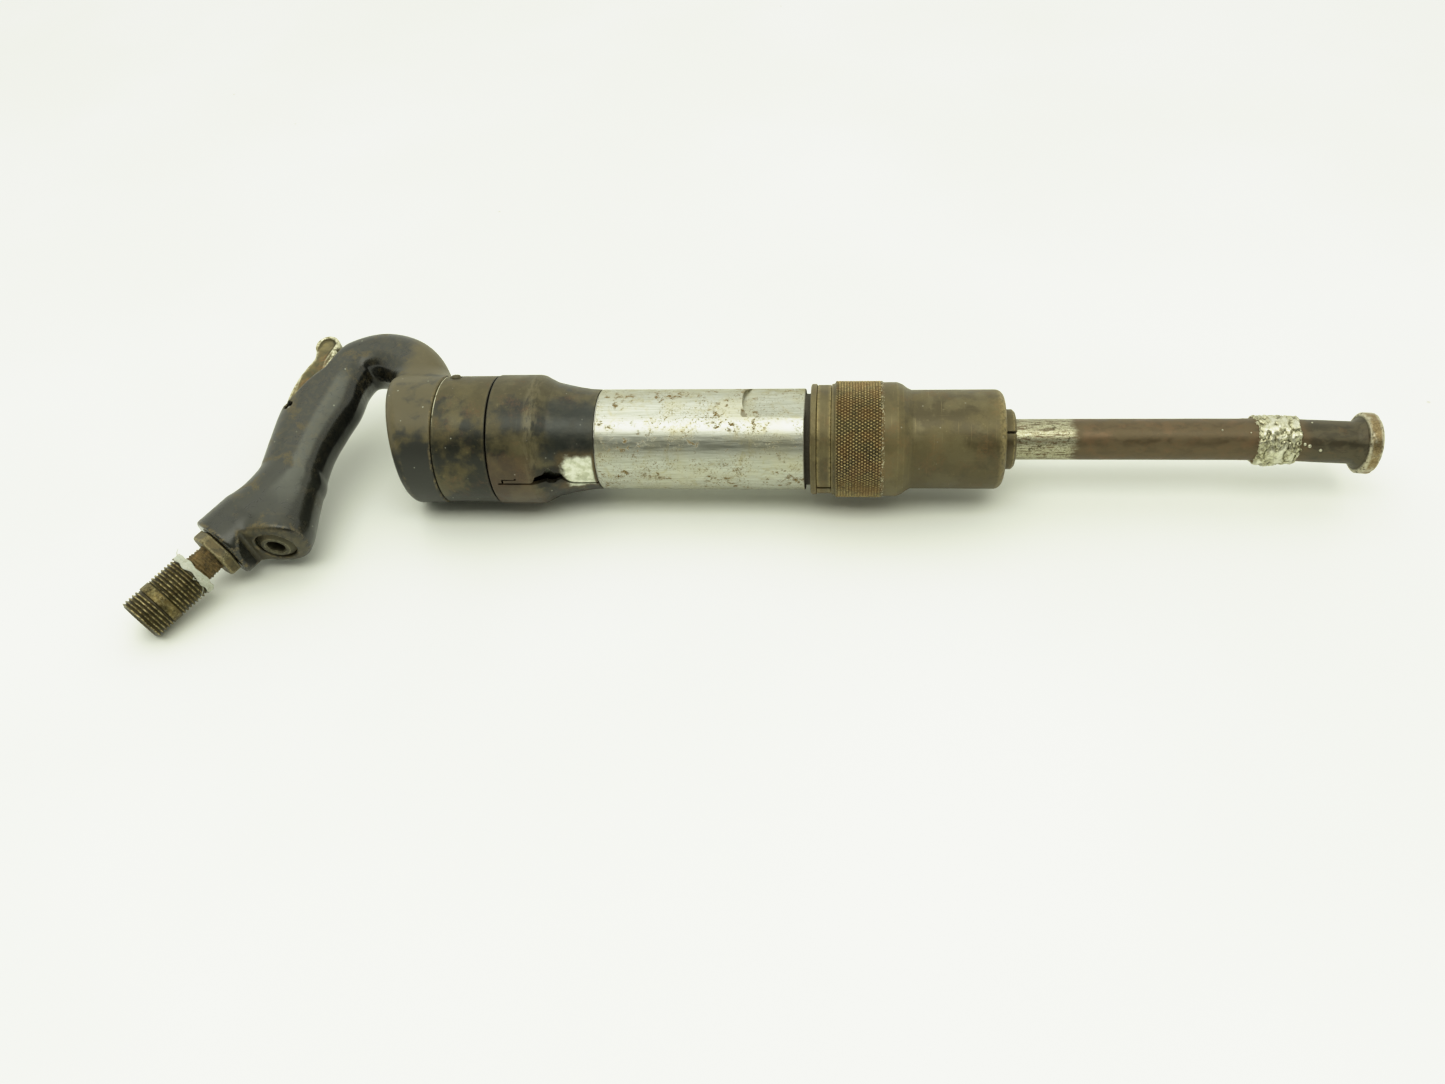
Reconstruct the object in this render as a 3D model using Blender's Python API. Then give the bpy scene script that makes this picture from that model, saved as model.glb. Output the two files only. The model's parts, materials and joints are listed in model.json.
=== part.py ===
"""Pneumatic chipping hammer with a gooseneck handle, an outside throttle lever, a screw-on
knurled tool retainer and a round-shank tool with a flanged end.  The scene is in metres, +Z up,
with the tool lying on its side on a bench.

All dimensions are millimetres in a working frame: x along the barrel axis towards the tool, s in
the plane of the handle and square to the barrel, n square to the handle plane.  x = 0 is the joint
between the clamp sleeve and the exhaust deflector.  An angle gamma is in degrees about the barrel
axis, from +n towards +s.
The empty "tool_axis" rolls that frame by ROLL, so that hose adapter and barrel both touch the
bench, and puts its origin at REST, so the world origin is the middle of the footprint.
"""

import math

import bmesh
import bpy
from mathutils import Matrix, Vector

MM = 0.001
ROLL = math.radians(11.5)
REST = (-120.379, 21.607, 30.971)
SHARP_ANGLE = math.radians(38)
MERGE_DIST = 2e-7  # metres, clean-up after a boolean

# ---------------------------------------------------------------- driving dimensions, mm
HEAD_X0, HEAD_X1, HEAD_R = -51.0, -26.3, 30.9  # head of the handle casting
HEAD_EDGE_R = 6.0
HEAD_LEAN = 0.2  # the rear face leans back towards the gooseneck, mm of x per mm of s
SPIGOT_R, SPIGOT_X1, HEAD_BORE_R, HEAD_WALL_X = 26.0, -3.0, 22.3, -40.0
SLEEVE_X0, SLEEVE_X1, SLEEVE_R, SLEEVE_BORE_R = -25.9, -0.3, 30.5, 26.3
VALVE_R = 21.9  # outside of the parts stacked in the head bore
DOWEL_GAMMAS, DOWEL_CIRCLE_R, DOWEL_R, DOWEL_HOLE_R = (150, 330), 18.6, 1.5, 1.8
BUTTON_X, BUTTON_GAMMA, BUTTON_HOLE_R = -20.6, 37.5, 2.8

BARREL_X0, BARREL_STEP_X, BARREL_X1, BARREL_NOSE_X = -20.0, 49.9, 146.9, 186.0
BARREL_REAR_R, BARREL_R, BARREL_NOSE_R, BORE_R = 22.0, 23.8, 21.4, 14.3
NOSE_BORE_X, NOSE_BORE_R = 156.0, 13.2
PORT_X, PORT_R, PORT_REACH = 27.5, 3.4, 27
FLAT_X0, FLAT_ACROSS, FLAT_GAMMA, FLAT_HALF_W = 117.9, 41.3, 17.0, 15
PISTON_R, PISTON_X0, PISTON_LEN = 14.1, -18.5, 63.0
PISTON_GROOVE_X0, PISTON_GROOVE_X1, PISTON_GROOVE_DEPTH = 8, 18, 0.8

DEFLECTOR_X0, DEFLECTOR_X1, DEFLECTOR_LIP_R = 0.4, 49.3, 22.4
RETAINER_X1, RETAINER_NOSE_R, RETAINER_EDGE_R = 237.4, 23.0, 6.2
SPLIT_GAMMA, SPLIT_GAP = -24.8, 1.2  # joint between the halves of the split sleeve

SHANK_R, ROD_R, SHANK_X0 = 8.65, 9.3, 148.0
COLLAR_X0, COLLAR_X1, COLLAR_R = 189.3, 197.5, 15.5
WELD_X, FLANGE_X0, FLANGE_T, FLANGE_R = 358.0, 394.7, 5.0, 13.8
BEND = math.radians(3.2)  # lean of the tool beyond the repair weld, towards LEAN
LEAN = Vector((0, -0.249, -0.969)).normalized()

THROTTLE_X = -98.5  # axis of the throttle bore, which runs along s in the grip
CAP_S = -63.5  # outer face of the throttle cap
CAP_BOSS_S = CAP_S + 0.4
PIVOT = (-109.4, 13.2)  # lever pin, x and s
PIVOT_PIN_R, PIVOT_HOLE_R = 2.0, 2.4
LEVER_HALF_T, SLOT_HALF_T = 4.8, 5.4

INLET_AT = Vector((-127.9, -69.0, 0))  # centre of the outer face of the bushing's hexagon
INLET_DIR = Vector((-0.562, -0.827, 0))  # direction in which the hose leaves
INLET_SIDE = Vector((0.827, -0.562, 0))  # square to it in the handle plane
HEX_ACROSS, HEX_HEIGHT = 22.2, 5.4

# Where the turned parts of the throttle and of the inlet stand
THROTTLE_LINE = dict(base=(THROTTLE_X, 0, 0), axis=(0, 1, 0))
INLET_LINE = dict(base=INLET_AT, axis=INLET_DIR)


# ---------------------------------------------------------------- scene, frame and materials
for old_object in list(bpy.data.objects):
    bpy.data.objects.remove(old_object, do_unlink=True)

FRAME = bpy.data.objects.new("tool_axis", None)
bpy.context.scene.collection.objects.link(FRAME)
FRAME.rotation_euler = (ROLL, 0, 0)
FRAME.location = Vector(REST) * MM


def material(name, color, roughness, metallic):
    mat = bpy.data.materials.new(name)
    mat.use_nodes = True
    inputs = mat.node_tree.nodes["Principled BSDF"].inputs
    inputs["Base Color"].default_value = (*color, 1)
    inputs["Roughness"].default_value = roughness
    inputs["Metallic"].default_value = metallic
    return mat


BLACK = material("worn_black_casting", color=(0.055, 0.055, 0.048), roughness=0.38, metallic=0.6)
BROWN = material("oxidised_steel", color=(0.16, 0.13, 0.085), roughness=0.5, metallic=0.8)
BRIGHT = material("bright_steel", color=(0.62, 0.62, 0.57), roughness=0.3, metallic=1.0)
STEEL = material("machined_steel", color=(0.42, 0.41, 0.38), roughness=0.35, metallic=1.0)
BRASS = material("tarnished_brass", color=(0.42, 0.31, 0.12), roughness=0.42, metallic=1.0)
IRON = material("rusty_pipe", color=(0.25, 0.17, 0.08), roughness=0.7, metallic=0.5)
RUBBER = material("black_rubber", color=(0.02, 0.02, 0.02), roughness=0.75, metallic=0.0)
COPPER = material("copper_gasket", color=(0.55, 0.28, 0.16), roughness=0.4, metallic=1.0)
TAPE = material("thread_tape", color=(0.72, 0.72, 0.66), roughness=0.6, metallic=0.0)


# ---------------------------------------------------------------- points and profiles
def polar(radius, gamma):
    """(s, n) of a point at radius and gamma."""
    angle = math.radians(gamma)
    return radius * math.sin(angle), radius * math.cos(angle)


def beside(gamma, out, across):
    """(s, n) of a point out along gamma and then across, along gamma + 90."""
    along, square = polar(1, gamma), polar(1, gamma + 90)
    return along[0] * out + square[0] * across, along[1] * out + square[1] * across


def arc(center, radius, first, step, count=5):
    """Points round a centre, at count angles of step degrees from first."""
    angles = [math.radians(first + step * i) for i in range(count)]
    return [(center[0] + radius * math.cos(a), center[1] + radius * math.sin(a)) for a in angles]


def rod_profile(x0, x1, radius):
    return [(x0, 0), (x0, radius), (x1, radius), (x1, 0)]


def ring_profile(x0, x1, inner, outer):
    return [(x0, inner), (x0, outer), (x1, outer), (x1, inner)]


def smooth_curve(points, steps):
    """Catmull-Rom through tuples of numbers, steps per span."""
    curve = []
    for i in range(len(points) - 1):
        span = (points[max(i - 1, 0)], points[i], points[i + 1], points[min(i + 2, len(points) - 1)])
        for k in range(steps):
            t = k / steps
            curve.append(tuple(
                0.5 * (2 * b + (c - a) * t + (2 * a - 5 * b + 4 * c - d) * t * t
                       + (3 * b - a - 3 * c + d) * t ** 3)
                for a, b, c, d in zip(*span)
            ))
    curve.append(tuple(points[-1]))
    return curve


# ---------------------------------------------------------------- solids, as bmeshes in mm
def spun(profile, segs=32, base=(0, 0, 0), axis=(1, 0, 0), start=0.0):
    """Turned solid about an axis through base, from profile points (along, radius).  A profile
    that starts and ends at radius 0 is solid to the axis; any other is a closed ring section."""
    solid = bmesh.new()
    verts = [solid.verts.new((along, 0, radius)) for along, radius in profile]
    edges = [solid.edges.new(pair) for pair in zip(verts, verts[1:])]
    if profile[0][1] != 0 or profile[-1][1] != 0:
        edges.append(solid.edges.new((verts[-1], verts[0])))
    bmesh.ops.spin(
        solid, geom=verts + edges, cent=(0, 0, 0), axis=(1, 0, 0),
        angle=2 * math.pi, steps=segs, use_merge=True,
    )
    bmesh.ops.remove_doubles(solid, verts=solid.verts, dist=1e-4)
    turn = Matrix.Rotation(start, 4, "X")
    to_axis = Vector((1, 0, 0)).rotation_difference(Vector(axis)).to_matrix().to_4x4()
    placed = Matrix.Translation(Vector(base)) @ to_axis @ turn
    bmesh.ops.transform(solid, matrix=placed, verts=solid.verts)
    bmesh.ops.recalc_face_normals(solid, faces=solid.faces)
    return solid


def cylinder(start, end, radius, segs=16):
    start, end = Vector(start), Vector(end)
    length = (end - start).length
    return spun(rod_profile(0, length, radius), segs, start, (end - start).normalized())


def skinned(rings):
    """Closed skin over rings of points, one ring after another, with flat ends."""
    solid = bmesh.new()
    rows = [[solid.verts.new(point) for point in ring] for ring in rings]
    count = len(rows[0])
    for row, after in zip(rows, rows[1:]):
        for i in range(count):
            k = (i + 1) % count
            solid.faces.new((row[i], row[k], after[k], after[i]))
    solid.faces.new(rows[0][::-1])
    solid.faces.new(rows[-1])
    bmesh.ops.recalc_face_normals(solid, faces=solid.faces)
    return solid


def slab(outline, half_t):
    """Plate about the handle plane from an outline of (x, s)."""
    return skinned([[(x, s, n) for x, s in outline] for n in (-half_t, half_t)])


def radial_prism(outline, r0, r1):
    """Prism between two radii of the barrel axis from an outline of (x, gamma)."""
    return skinned([[(x, *polar(r, gamma)) for x, gamma in outline] for r in (r0, r1)])


def radial_block(x0, x1, gamma0, gamma1, r0, r1):
    return radial_prism([(x0, gamma0), (x1, gamma0), (x1, gamma1), (x0, gamma1)], r0, r1)


def swept(stations, sides, power=2.0):
    """Bar in the handle plane.  Each station is (x, s, half width in the plane, half thickness
    along n); its section is a superellipse square to the path."""
    rings = []
    for i, (x, s, half_w, half_t) in enumerate(stations):
        before, after = stations[max(i - 1, 0)], stations[min(i + 1, len(stations) - 1)]
        along = Vector((after[0] - before[0], after[1] - before[1], 0)).normalized()
        side = Vector((-along.y, along.x, 0))
        ring = []
        for k in range(sides):
            angle = 2 * math.pi * k / sides
            cos, sin = math.cos(angle), math.sin(angle)
            across = math.copysign(abs(cos) ** (2 / power), cos) * half_w
            height = math.copysign(abs(sin) ** (2 / power), sin) * half_t
            ring.append(Vector((x, s, 0)) + side * across + Vector((0, 0, height)))
        rings.append(ring)
    return skinned(rings)


# ---------------------------------------------------------------- objects
def finish(name, solid, mat=None, origin=(0, 0, 0)):
    """Turns a solid into an object whose own origin is at origin, in mm."""
    bmesh.ops.recalc_face_normals(solid, faces=solid.faces)
    mesh = bpy.data.meshes.new(name)
    solid.to_mesh(mesh)
    solid.free()
    location = Vector(origin) * MM
    mesh.transform(Matrix.Translation(-location) @ Matrix.Scale(MM, 4))
    mesh.shade_smooth()
    mesh.set_sharp_from_angle(angle=SHARP_ANGLE)
    part = bpy.data.objects.new(name, mesh)
    if mat:
        part.data.materials.append(mat)
    bpy.context.scene.collection.objects.link(part)
    part.parent = FRAME
    part.location = location
    return part


def turned(name, profile, mat, segs=32, base=(0, 0, 0), axis=(1, 0, 0), start=0.0, origin=None):
    """Turned object; its origin is base unless given."""
    return finish(name, spun(profile, segs, base, axis, start), mat, origin or base)


def boolean(part, solid, operation):
    """Applies one boolean to part and merges the slivers it leaves."""
    other = finish("cutter", solid)
    modifier = part.modifiers.new("cut", "BOOLEAN")
    modifier.operation = operation
    modifier.solver = "EXACT"
    modifier.object = other
    bpy.context.view_layer.update()
    graph = bpy.context.evaluated_depsgraph_get()
    made = bpy.data.meshes.new_from_object(part.evaluated_get(graph))
    part.modifiers.clear()
    bpy.data.objects.remove(other, do_unlink=True)
    made.name = part.data.name
    part.data = made
    clean = bmesh.new()
    clean.from_mesh(made)
    bmesh.ops.remove_doubles(clean, verts=clean.verts, dist=MERGE_DIST)
    bmesh.ops.dissolve_degenerate(clean, edges=clean.edges, dist=MERGE_DIST)
    clean.to_mesh(made)
    clean.free()


def cut(part, *solids):
    for solid in solids:
        boolean(part, solid, "DIFFERENCE")


def join(part, *solids):
    for solid in solids:
        boolean(part, solid, "UNION")


# ================================================================ handle casting
# Gooseneck and grip, from the head to the throttle cap: x, s, half width, half thickness
NECK = [
    (-38.5, 14.0, 10.6, 14.0), (-43.0, 27.2, 13.6, 14.8), (-49.8, 38.6, 14.6, 15.4),
    (-59.2, 47.2, 14.4, 15.2), (-71.0, 50.8, 13.6, 14.6), (-82.0, 47.0, 13.8, 14.2),
    (-90.5, 37.0, 16.6, 14.0), (-95.8, 22.5, 20.2, 14.0), (-98.8, 8.0, 19.2, 13.8),
    (-100.6, -8.0, 17.4, 13.6), (-100.8, -24.0, 17.0, 13.6), (-99.6, -40.0, 17.0, 13.8),
    (-98.2, -54.0, 15.6, 13.8), (-98.2, -60.5, 14.2, 13.2),
]
# Air passage up the gooseneck to the head: x, s
PASSAGE_R = 3.2
PASSAGE = [
    (-97.5, -11.0), (-91.5, -6.0), (-86.6, 6.0), (-84.2, 20.0), (-82.0, 32.0), (-75.0, 42.0),
    (-64.0, 44.5), (-53.0, 40.0), (-46.0, 29.0), (-42.0, 16.0), (-38.6, 6.0),
]
# Lever slot up the back of the grip, with the well for the lever's short arm: x, s
SLOT = [
    (-94.5, 10.0), (-94.5, 19.5), (-99.8, 24.0), (-98.0, 32.0), (-94.8, 40.0), (-91.6, 48.0),
    (-89.6, 55.0), (-88.6, 66.0), (-127.0, 66.0), (-127.0, 20.0), (-117.5, 7.0), (-104.5, 7.0),
    (-103.0, 10.0),
]
# Cut across the cheeks beside the lever, so that its arm stands clear of the grip: x, s
CHEEK = [
    (-127.0, 17.0), (-114.5, 17.0), (-112.3, 20.5), (-110.3, 25.0), (-107.6, 29.5),
    (-104.2, 34.0), (-99.6, 38.6), (-96.0, 43.0), (-94.6, 50.0), (-94.0, 66.0), (-127.0, 66.0),
]
# Profiles of (along, radius) on the throttle and inlet axes
THROTTLE_BORE = [
    (-70, 0), (-70, 9.6), (-53.4, 9.6), (-53.4, 8.0), (-24.0, 8.0), (-24.0, 6.3), (-17.0, 6.3),
    (-17.0, 4.2), (-6.0, 4.2), (-6.0, 2.9), (17.0, 2.9), (17.0, 0),
]
INLET_BOSS = [(-52.0, 0), (-52.0, 11.5), (-24.0, 16.2), (-5.8, 16.2), (-5.8, 0)]
INLET_BORE = [(-47, 0), (-47, 5.0), (-20.0, 5.0), (-20.0, 9.9), (0, 9.9), (0, 0)]


def head_solid():
    """Round head with its spigot, the rear face sheared to lean."""
    edge_x = HEAD_X0 + HEAD_EDGE_R
    edge = arc((edge_x, HEAD_R - HEAD_EDGE_R), HEAD_EDGE_R, 180, -22.5)
    head = spun([(HEAD_X0, 0)] + edge + [
        (HEAD_X1, HEAD_R), (HEAD_X1, SPIGOT_R), (SPIGOT_X1, SPIGOT_R), (SPIGOT_X1, 0)], 40)
    for vert in head.verts:
        if vert.co.x < edge_x + 0.01:
            vert.co.x -= HEAD_LEAN * vert.co.y
    return head


def on_throttle(s):
    return (THROTTLE_X, s, 0)


def pivot_hole():
    return cylinder((*PIVOT, -20), (*PIVOT, 20), PIVOT_HOLE_R)


def button_point(radius):
    return (BUTTON_X, *polar(radius, BUTTON_GAMMA))


def button_hole(r0):
    return cylinder(button_point(r0), button_point(34), BUTTON_HOLE_R)


def build_handle():
    handle = finish("handle", swept(smooth_curve(NECK, 2), 20, 2.25), BLACK)
    join(handle,
         head_solid(),
         spun(INLET_BOSS, 28, **INLET_LINE),
         cylinder(on_throttle(-40), on_throttle(CAP_BOSS_S), 13.4, 28))
    passage = [(x, s, PASSAGE_R, PASSAGE_R) for x, s in smooth_curve(PASSAGE, 2)]
    cut(handle,
        cylinder(on_throttle(CAP_S - 20), on_throttle(CAP_BOSS_S), 12.9, 28),  # cap spot face
        spun(rod_profile(HEAD_WALL_X, 2, HEAD_BORE_R), 40),
        spun(THROTTLE_BORE, 20, **THROTTLE_LINE),
        spun(INLET_BORE, 24, **INLET_LINE),
        swept(passage, 10),
        slab(SLOT, SLOT_HALF_T),
        slab(CHEEK, 20),
        pivot_hole(),
        button_hole(23.8))


# ================================================================ throttle
# Lever outline, x and s: round knob, back of the arm, hub round the pin, the short arm that
# reaches over the throttle pin, and the arm's front
LEVER = (
    arc((-103.4, 58.2), 6.4, -30, 22, 12)
    + [(-108.4, 52.8), (-108.2, 48.4), (-111.0, 41.5), (-113.4, 33.6), (-114.8, 24.0),
       (-114.8, 16.0)]
    + arc(PIVOT, 5.4, 190, 22)
    + [(-105.2, 11.0), (-103.2, 13.8), (-102.0, 14.8), (THROTTLE_X + 1.4, 15.1),
       (THROTTLE_X + 1.9, 16.6), (THROTTLE_X + 1.9, 19.2), (-101.6, 21.6)]
    + [(-102.2, 25.0), (-101.6, 32.0), (-99.8, 40.0), (-97.9, 48.0), (-97.4, 53.6)]
)
# Return spring between the valve head and the cap
COILS, COIL_STEPS, COIL_R = 4.5, 12, 4.7
WIRE_R, WIRE_SIDES = 0.55, 5
SPRING_S0, SPRING_S1 = -46.6, -34.7


def build_lever():
    lever = finish("throttle_lever", slab(LEVER, LEVER_HALF_T), BROWN, origin=(*PIVOT, 0))
    cut(lever, pivot_hole())
    turned("lever_pin", rod_profile(-8.6, 8.6, PIVOT_PIN_R), STEEL, 16,
           base=(*PIVOT, 0), axis=(0, 0, 1))


def build_throttle_valve():
    turned("throttle_pin", [
        (-8.6, 0), (-8.6, 2.2), (-0.6, 2.2), (-0.6, 2.5), (13.2, 2.5), (14.6, 1.4), (14.6, 0),
    ], STEEL, 16, **THROTTLE_LINE)
    turned("throttle_seat", [(-24.3, 4.4), (-24.3, 7.7), (-26.2, 7.7), (-26.2, 5.4)],
           STEEL, 24, **THROTTLE_LINE)
    turned("throttle_valve", [
        (-36.0, 0), (-36.0, 2.8), (-31.5, 2.8), (-31.5, 6.6), (-27.9, 6.6), (-26.5, 5.3),
        (-26.5, 1.9), (-9.0, 1.9), (-9.0, 0),
    ], STEEL, 24, **THROTTLE_LINE)
    turned("cap_gasket", ring_profile(-53.7, -54.6, 5.5, 9.2), COPPER, 24, **THROTTLE_LINE)
    turned("throttle_cap", [
        (-47.5, 0), (-47.5, 7.6), (-52.6, 7.6), (-52.6, 5.0), (-55.0, 5.0), (-55.0, 9.2),
        (CAP_S + 0.8, 9.2), (CAP_S, 8.4), (CAP_S, 4.3), (-58.6, 4.3), (-58.6, 0),
    ], BROWN, 24, **THROTTLE_LINE)


def build_throttle_spring():
    rings = []
    steps = int(COILS * COIL_STEPS)
    for i in range(steps + 1):
        angle = 2 * math.pi * COILS * i / steps
        out = Vector((math.cos(angle), 0, math.sin(angle)))
        center = Vector(on_throttle(SPRING_S0 + (SPRING_S1 - SPRING_S0) * i / steps)) + COIL_R * out
        ring = []
        for k in range(WIRE_SIDES):
            turn = 2 * math.pi * k / WIRE_SIDES
            ring.append(center + WIRE_R * (math.cos(turn) * out
                                           + math.sin(turn) * Vector((0, 1, 0))))
        rings.append(ring)
    finish("throttle_spring", skinned(rings), STEEL, origin=on_throttle(SPRING_S1))


# ================================================================ inlet fittings
ADAPTER_END, RIDGE_PITCH = 42.2, 1.81


def hex_flat_cutter(angle):
    """Block outside one flat of the bushing's hexagon."""
    out = INLET_SIDE * math.cos(angle) + Vector((0, 0, 1)) * math.sin(angle)
    depth, width = 8, 30
    center = INLET_AT - INLET_DIR * HEX_HEIGHT / 2 + out * (HEX_ACROSS / 2 + depth / 2)
    rotation = Matrix((out, INLET_DIR, out.cross(INLET_DIR))).transposed().to_4x4()
    size = Matrix.Diagonal((depth, HEX_HEIGHT + 0.02, width, 1))
    block = bmesh.new()
    bmesh.ops.create_cube(block, size=1)
    bmesh.ops.transform(block, matrix=Matrix.Translation(center) @ rotation @ size,
                        verts=block.verts)
    return block


def build_inlet_bushing():
    bushing = turned("inlet_bushing", [
        (-19.0, 5.5), (-19.0, 9.4), (-HEX_HEIGHT, 9.6), (-HEX_HEIGHT, 12.83), (0, 12.83),
        (0, 7.2), (-9.5, 7.2), (-9.5, 5.5),
    ], IRON, 24, **INLET_LINE)
    cut(bushing, *[hex_flat_cutter(math.radians(60 * k)) for k in range(6)])


def ridges(start, count):
    """Sawtooth ridges of the hose adapter, as profile points."""
    points = []
    for i in range(count):
        x = start + RIDGE_PITCH * i
        points += [(x + 0.1, 9.85), (x + 0.9, 10.65)]
    return points


def build_hose_fittings():
    turned("inlet_screen", [
        (-31.0, 0), (-31.0, 4.2), (-19.6, 4.4), (-19.6, 3.6), (-30.2, 3.4), (-30.2, 0),
    ], BRASS, 16, **INLET_LINE)
    turned("pipe_nipple", ring_profile(-9.2, 21.0, 4.6, 6.9), IRON, 24, **INLET_LINE)
    band = [(27.0, 10.0), (28.0, 10.0), (28.2, 10.6), (32.2, 10.6), (32.4, 9.9)]
    turned("hose_adapter", (
        [(9.4, 7.2), (9.4, 9.6), (12.6, 10.2)] + ridges(13.6, 7) + band + ridges(32.6, 5)
        + [(ADAPTER_END - 0.4, 9.9), (ADAPTER_END, 9.5), (ADAPTER_END, 7.6), (21.4, 7.6),
           (21.4, 7.2)]
    ), BRASS, 20, **INLET_LINE)
    turned("thread_tape", [
        (9.0, 10.1), (9.0, 11.0), (10.2, 11.4), (12.2, 11.2), (13.2, 11.2), (13.2, 10.9),
        (12.0, 10.55),
    ], TAPE, 24, **INLET_LINE)


# ================================================================ clamp sleeve and valve
def build_clamp_sleeve():
    sleeve = turned("clamp_sleeve", ring_profile(SLEEVE_X0, SLEEVE_X1, SLEEVE_BORE_R, SLEEVE_R),
                    BLACK, 40)
    cut(sleeve, button_hole(24))
    line = dict(base=(BUTTON_X, 0, 0), axis=(0, *polar(1, BUTTON_GAMMA)))
    turned("lock_button", [(26.6, 0), (26.6, 2.45), (31.0, 2.45), (31.6, 1.7), (31.9, 0)],
           BROWN, 16, origin=button_point(29), **line)
    turned("lock_button_spring", ring_profile(24.1, 25.2, 1.3, 2.2), STEEL, 16,
           origin=button_point(24.1), **line)


def cut_dowel_holes(part, x0, x1):
    for gamma in DOWEL_GAMMAS:
        place = polar(DOWEL_CIRCLE_R, gamma)
        cut(part, cylinder((x0, *place), (x1, *place), DOWEL_HOLE_R, 12))


def build_valve():
    turned("valve_gasket", ring_profile(-39.7, -38.9, 13.0, VALVE_R), COPPER)
    cover = turned("valve_cover", ring_profile(-38.6, -34.2, 5.0, VALVE_R), STEEL)
    cut_dowel_holes(cover, -39.0, -33)
    chest = turned("valve_chest", ring_profile(-33.9, -20.3, 15.3, VALVE_R), STEEL)
    cut_dowel_holes(chest, -35, -19)
    turned("valve_spool", [
        (-33.3, 8.0), (-33.3, 15.0), (-31.0, 15.0), (-31.0, 13.4), (-26.6, 13.4), (-26.6, 15.0),
        (-24.3, 15.0), (-24.3, 8.0),
    ], STEEL)
    # dowels that line up cover, chest and barrel
    for number, gamma in enumerate(DOWEL_GAMMAS, 1):
        turned(f"valve_dowel_{number}", rod_profile(-37.8, -15.0, DOWEL_R), STEEL, 12,
               base=(0, *polar(DOWEL_CIRCLE_R, gamma)))


# ================================================================ barrel
# Rounded rear end of a wrench flat: distance from FLAT_X0, half width
FLAT_END = [(5.5, FLAT_HALF_W), (3.2, 10.4), (1.2, 8.2), (0, 4.5)]


def flat_cutter(gamma):
    front = BARREL_X1 + 0.05
    outline = [(front, -FLAT_HALF_W), (front, FLAT_HALF_W)]
    outline += [(FLAT_X0 + x, half_w) for x, half_w in FLAT_END]
    outline += [(FLAT_X0 + x, -half_w) for x, half_w in FLAT_END[::-1]]
    return skinned([[(x, *beside(gamma, out, across)) for x, across in outline]
                    for out in (FLAT_ACROSS / 2, FLAT_ACROSS / 2 + 8)])


def build_barrel():
    barrel = turned("barrel", [
        (BARREL_X0, BORE_R), (BARREL_X0, BARREL_REAR_R), (BARREL_STEP_X, BARREL_REAR_R),
        (BARREL_STEP_X, BARREL_R), (BARREL_X1 - 0.8, BARREL_R), (BARREL_X1, BARREL_R - 0.8),
        (BARREL_X1, BARREL_NOSE_R), (BARREL_NOSE_X - 1, BARREL_NOSE_R),
        (BARREL_NOSE_X, BARREL_NOSE_R - 1), (BARREL_NOSE_X, NOSE_BORE_R),
        (NOSE_BORE_X, NOSE_BORE_R), (NOSE_BORE_X, BORE_R),
    ], BRIGHT, 40)
    for gamma in (20, 110):  # exhaust ports under the deflector, each right through
        cut(barrel, cylinder((PORT_X, *polar(-PORT_REACH, gamma)),
                             (PORT_X, *polar(PORT_REACH, gamma)), PORT_R, 14))
    cut(barrel, flat_cutter(FLAT_GAMMA), flat_cutter(FLAT_GAMMA + 180))
    cut_dowel_holes(barrel, -22, -14.5)


def build_piston():
    end = PISTON_X0 + PISTON_LEN
    groove_r = PISTON_R - PISTON_GROOVE_DEPTH
    turned("piston", [
        (PISTON_X0, 0), (PISTON_X0, PISTON_R - 1.5), (PISTON_X0 + 1.5, PISTON_R),
        (PISTON_GROOVE_X0, PISTON_R), (PISTON_GROOVE_X0, groove_r),
        (PISTON_GROOVE_X1, groove_r), (PISTON_GROOVE_X1, PISTON_R),
        (end - 2, PISTON_R), (end, PISTON_R - 2.5), (end, 0),
    ], STEEL)


def build_shank_bushing():
    turned("shank_bushing", [
        (156.3, 8.9), (156.3, 12.9), (186.3, 12.9), (186.3, 16.6), (188.8, 16.6), (188.8, 8.9),
    ], STEEL)


# ================================================================ exhaust deflector
# Outside then inside of the shell: x, radius
DEFLECTOR = [
    (DEFLECTOR_X0, 30.7), (0.8, 31.0), (19.6, 31.0), (21.6, 30.6), (24.0, 29.3), (27.8, 27.4),
    (32.9, 26.2), (38.6, 25.0), (44.2, 24.1), (DEFLECTOR_X1, 23.8),
    (DEFLECTOR_X1, DEFLECTOR_LIP_R), (45.0, DEFLECTOR_LIP_R), (38.6, 22.9), (32.9, 24.1),
    (27.8, 25.2), (24.0, 27.1), (20.6, 28.7), (2.6, 28.9), (2.6, DEFLECTOR_LIP_R),
    (DEFLECTOR_X0, DEFLECTOR_LIP_R),
]
# Split line with its hooked clasp, opening into the exhaust outlet and on to the front edge:
# x, gamma
SPLIT_LINE = [
    (3.8, -80.7), (20.8, -80.7), (26.2, -81.5), (27.4, -85.4), (29.8, -86.3), (31.8, -83.4),
    (33.5, -83.6), (35.6, -90.2), (39.9, -95.4), (DEFLECTOR_X1 + 2, -98.4),
    (DEFLECTOR_X1 + 2, -95.9), (40.5, -92.9), (36.8, -88.2), (34.4, -80.5), (33.2, -74.7),
    (29.7, -72.3), (28.0, -67.0), (26.5, -67.6), (25.0, -72.7), (21.5, -73.1), (20.8, -75.9),
    (20.2, -79.1), (6.6, -79.1), (6.6, -76.5), (12.9, -76.2), (12.9, -74.0), (12.1, -74.0),
    (12.1, -75.2), (5.5, -75.2), (5.5, -79.1), (3.8, -79.1),
]


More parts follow.
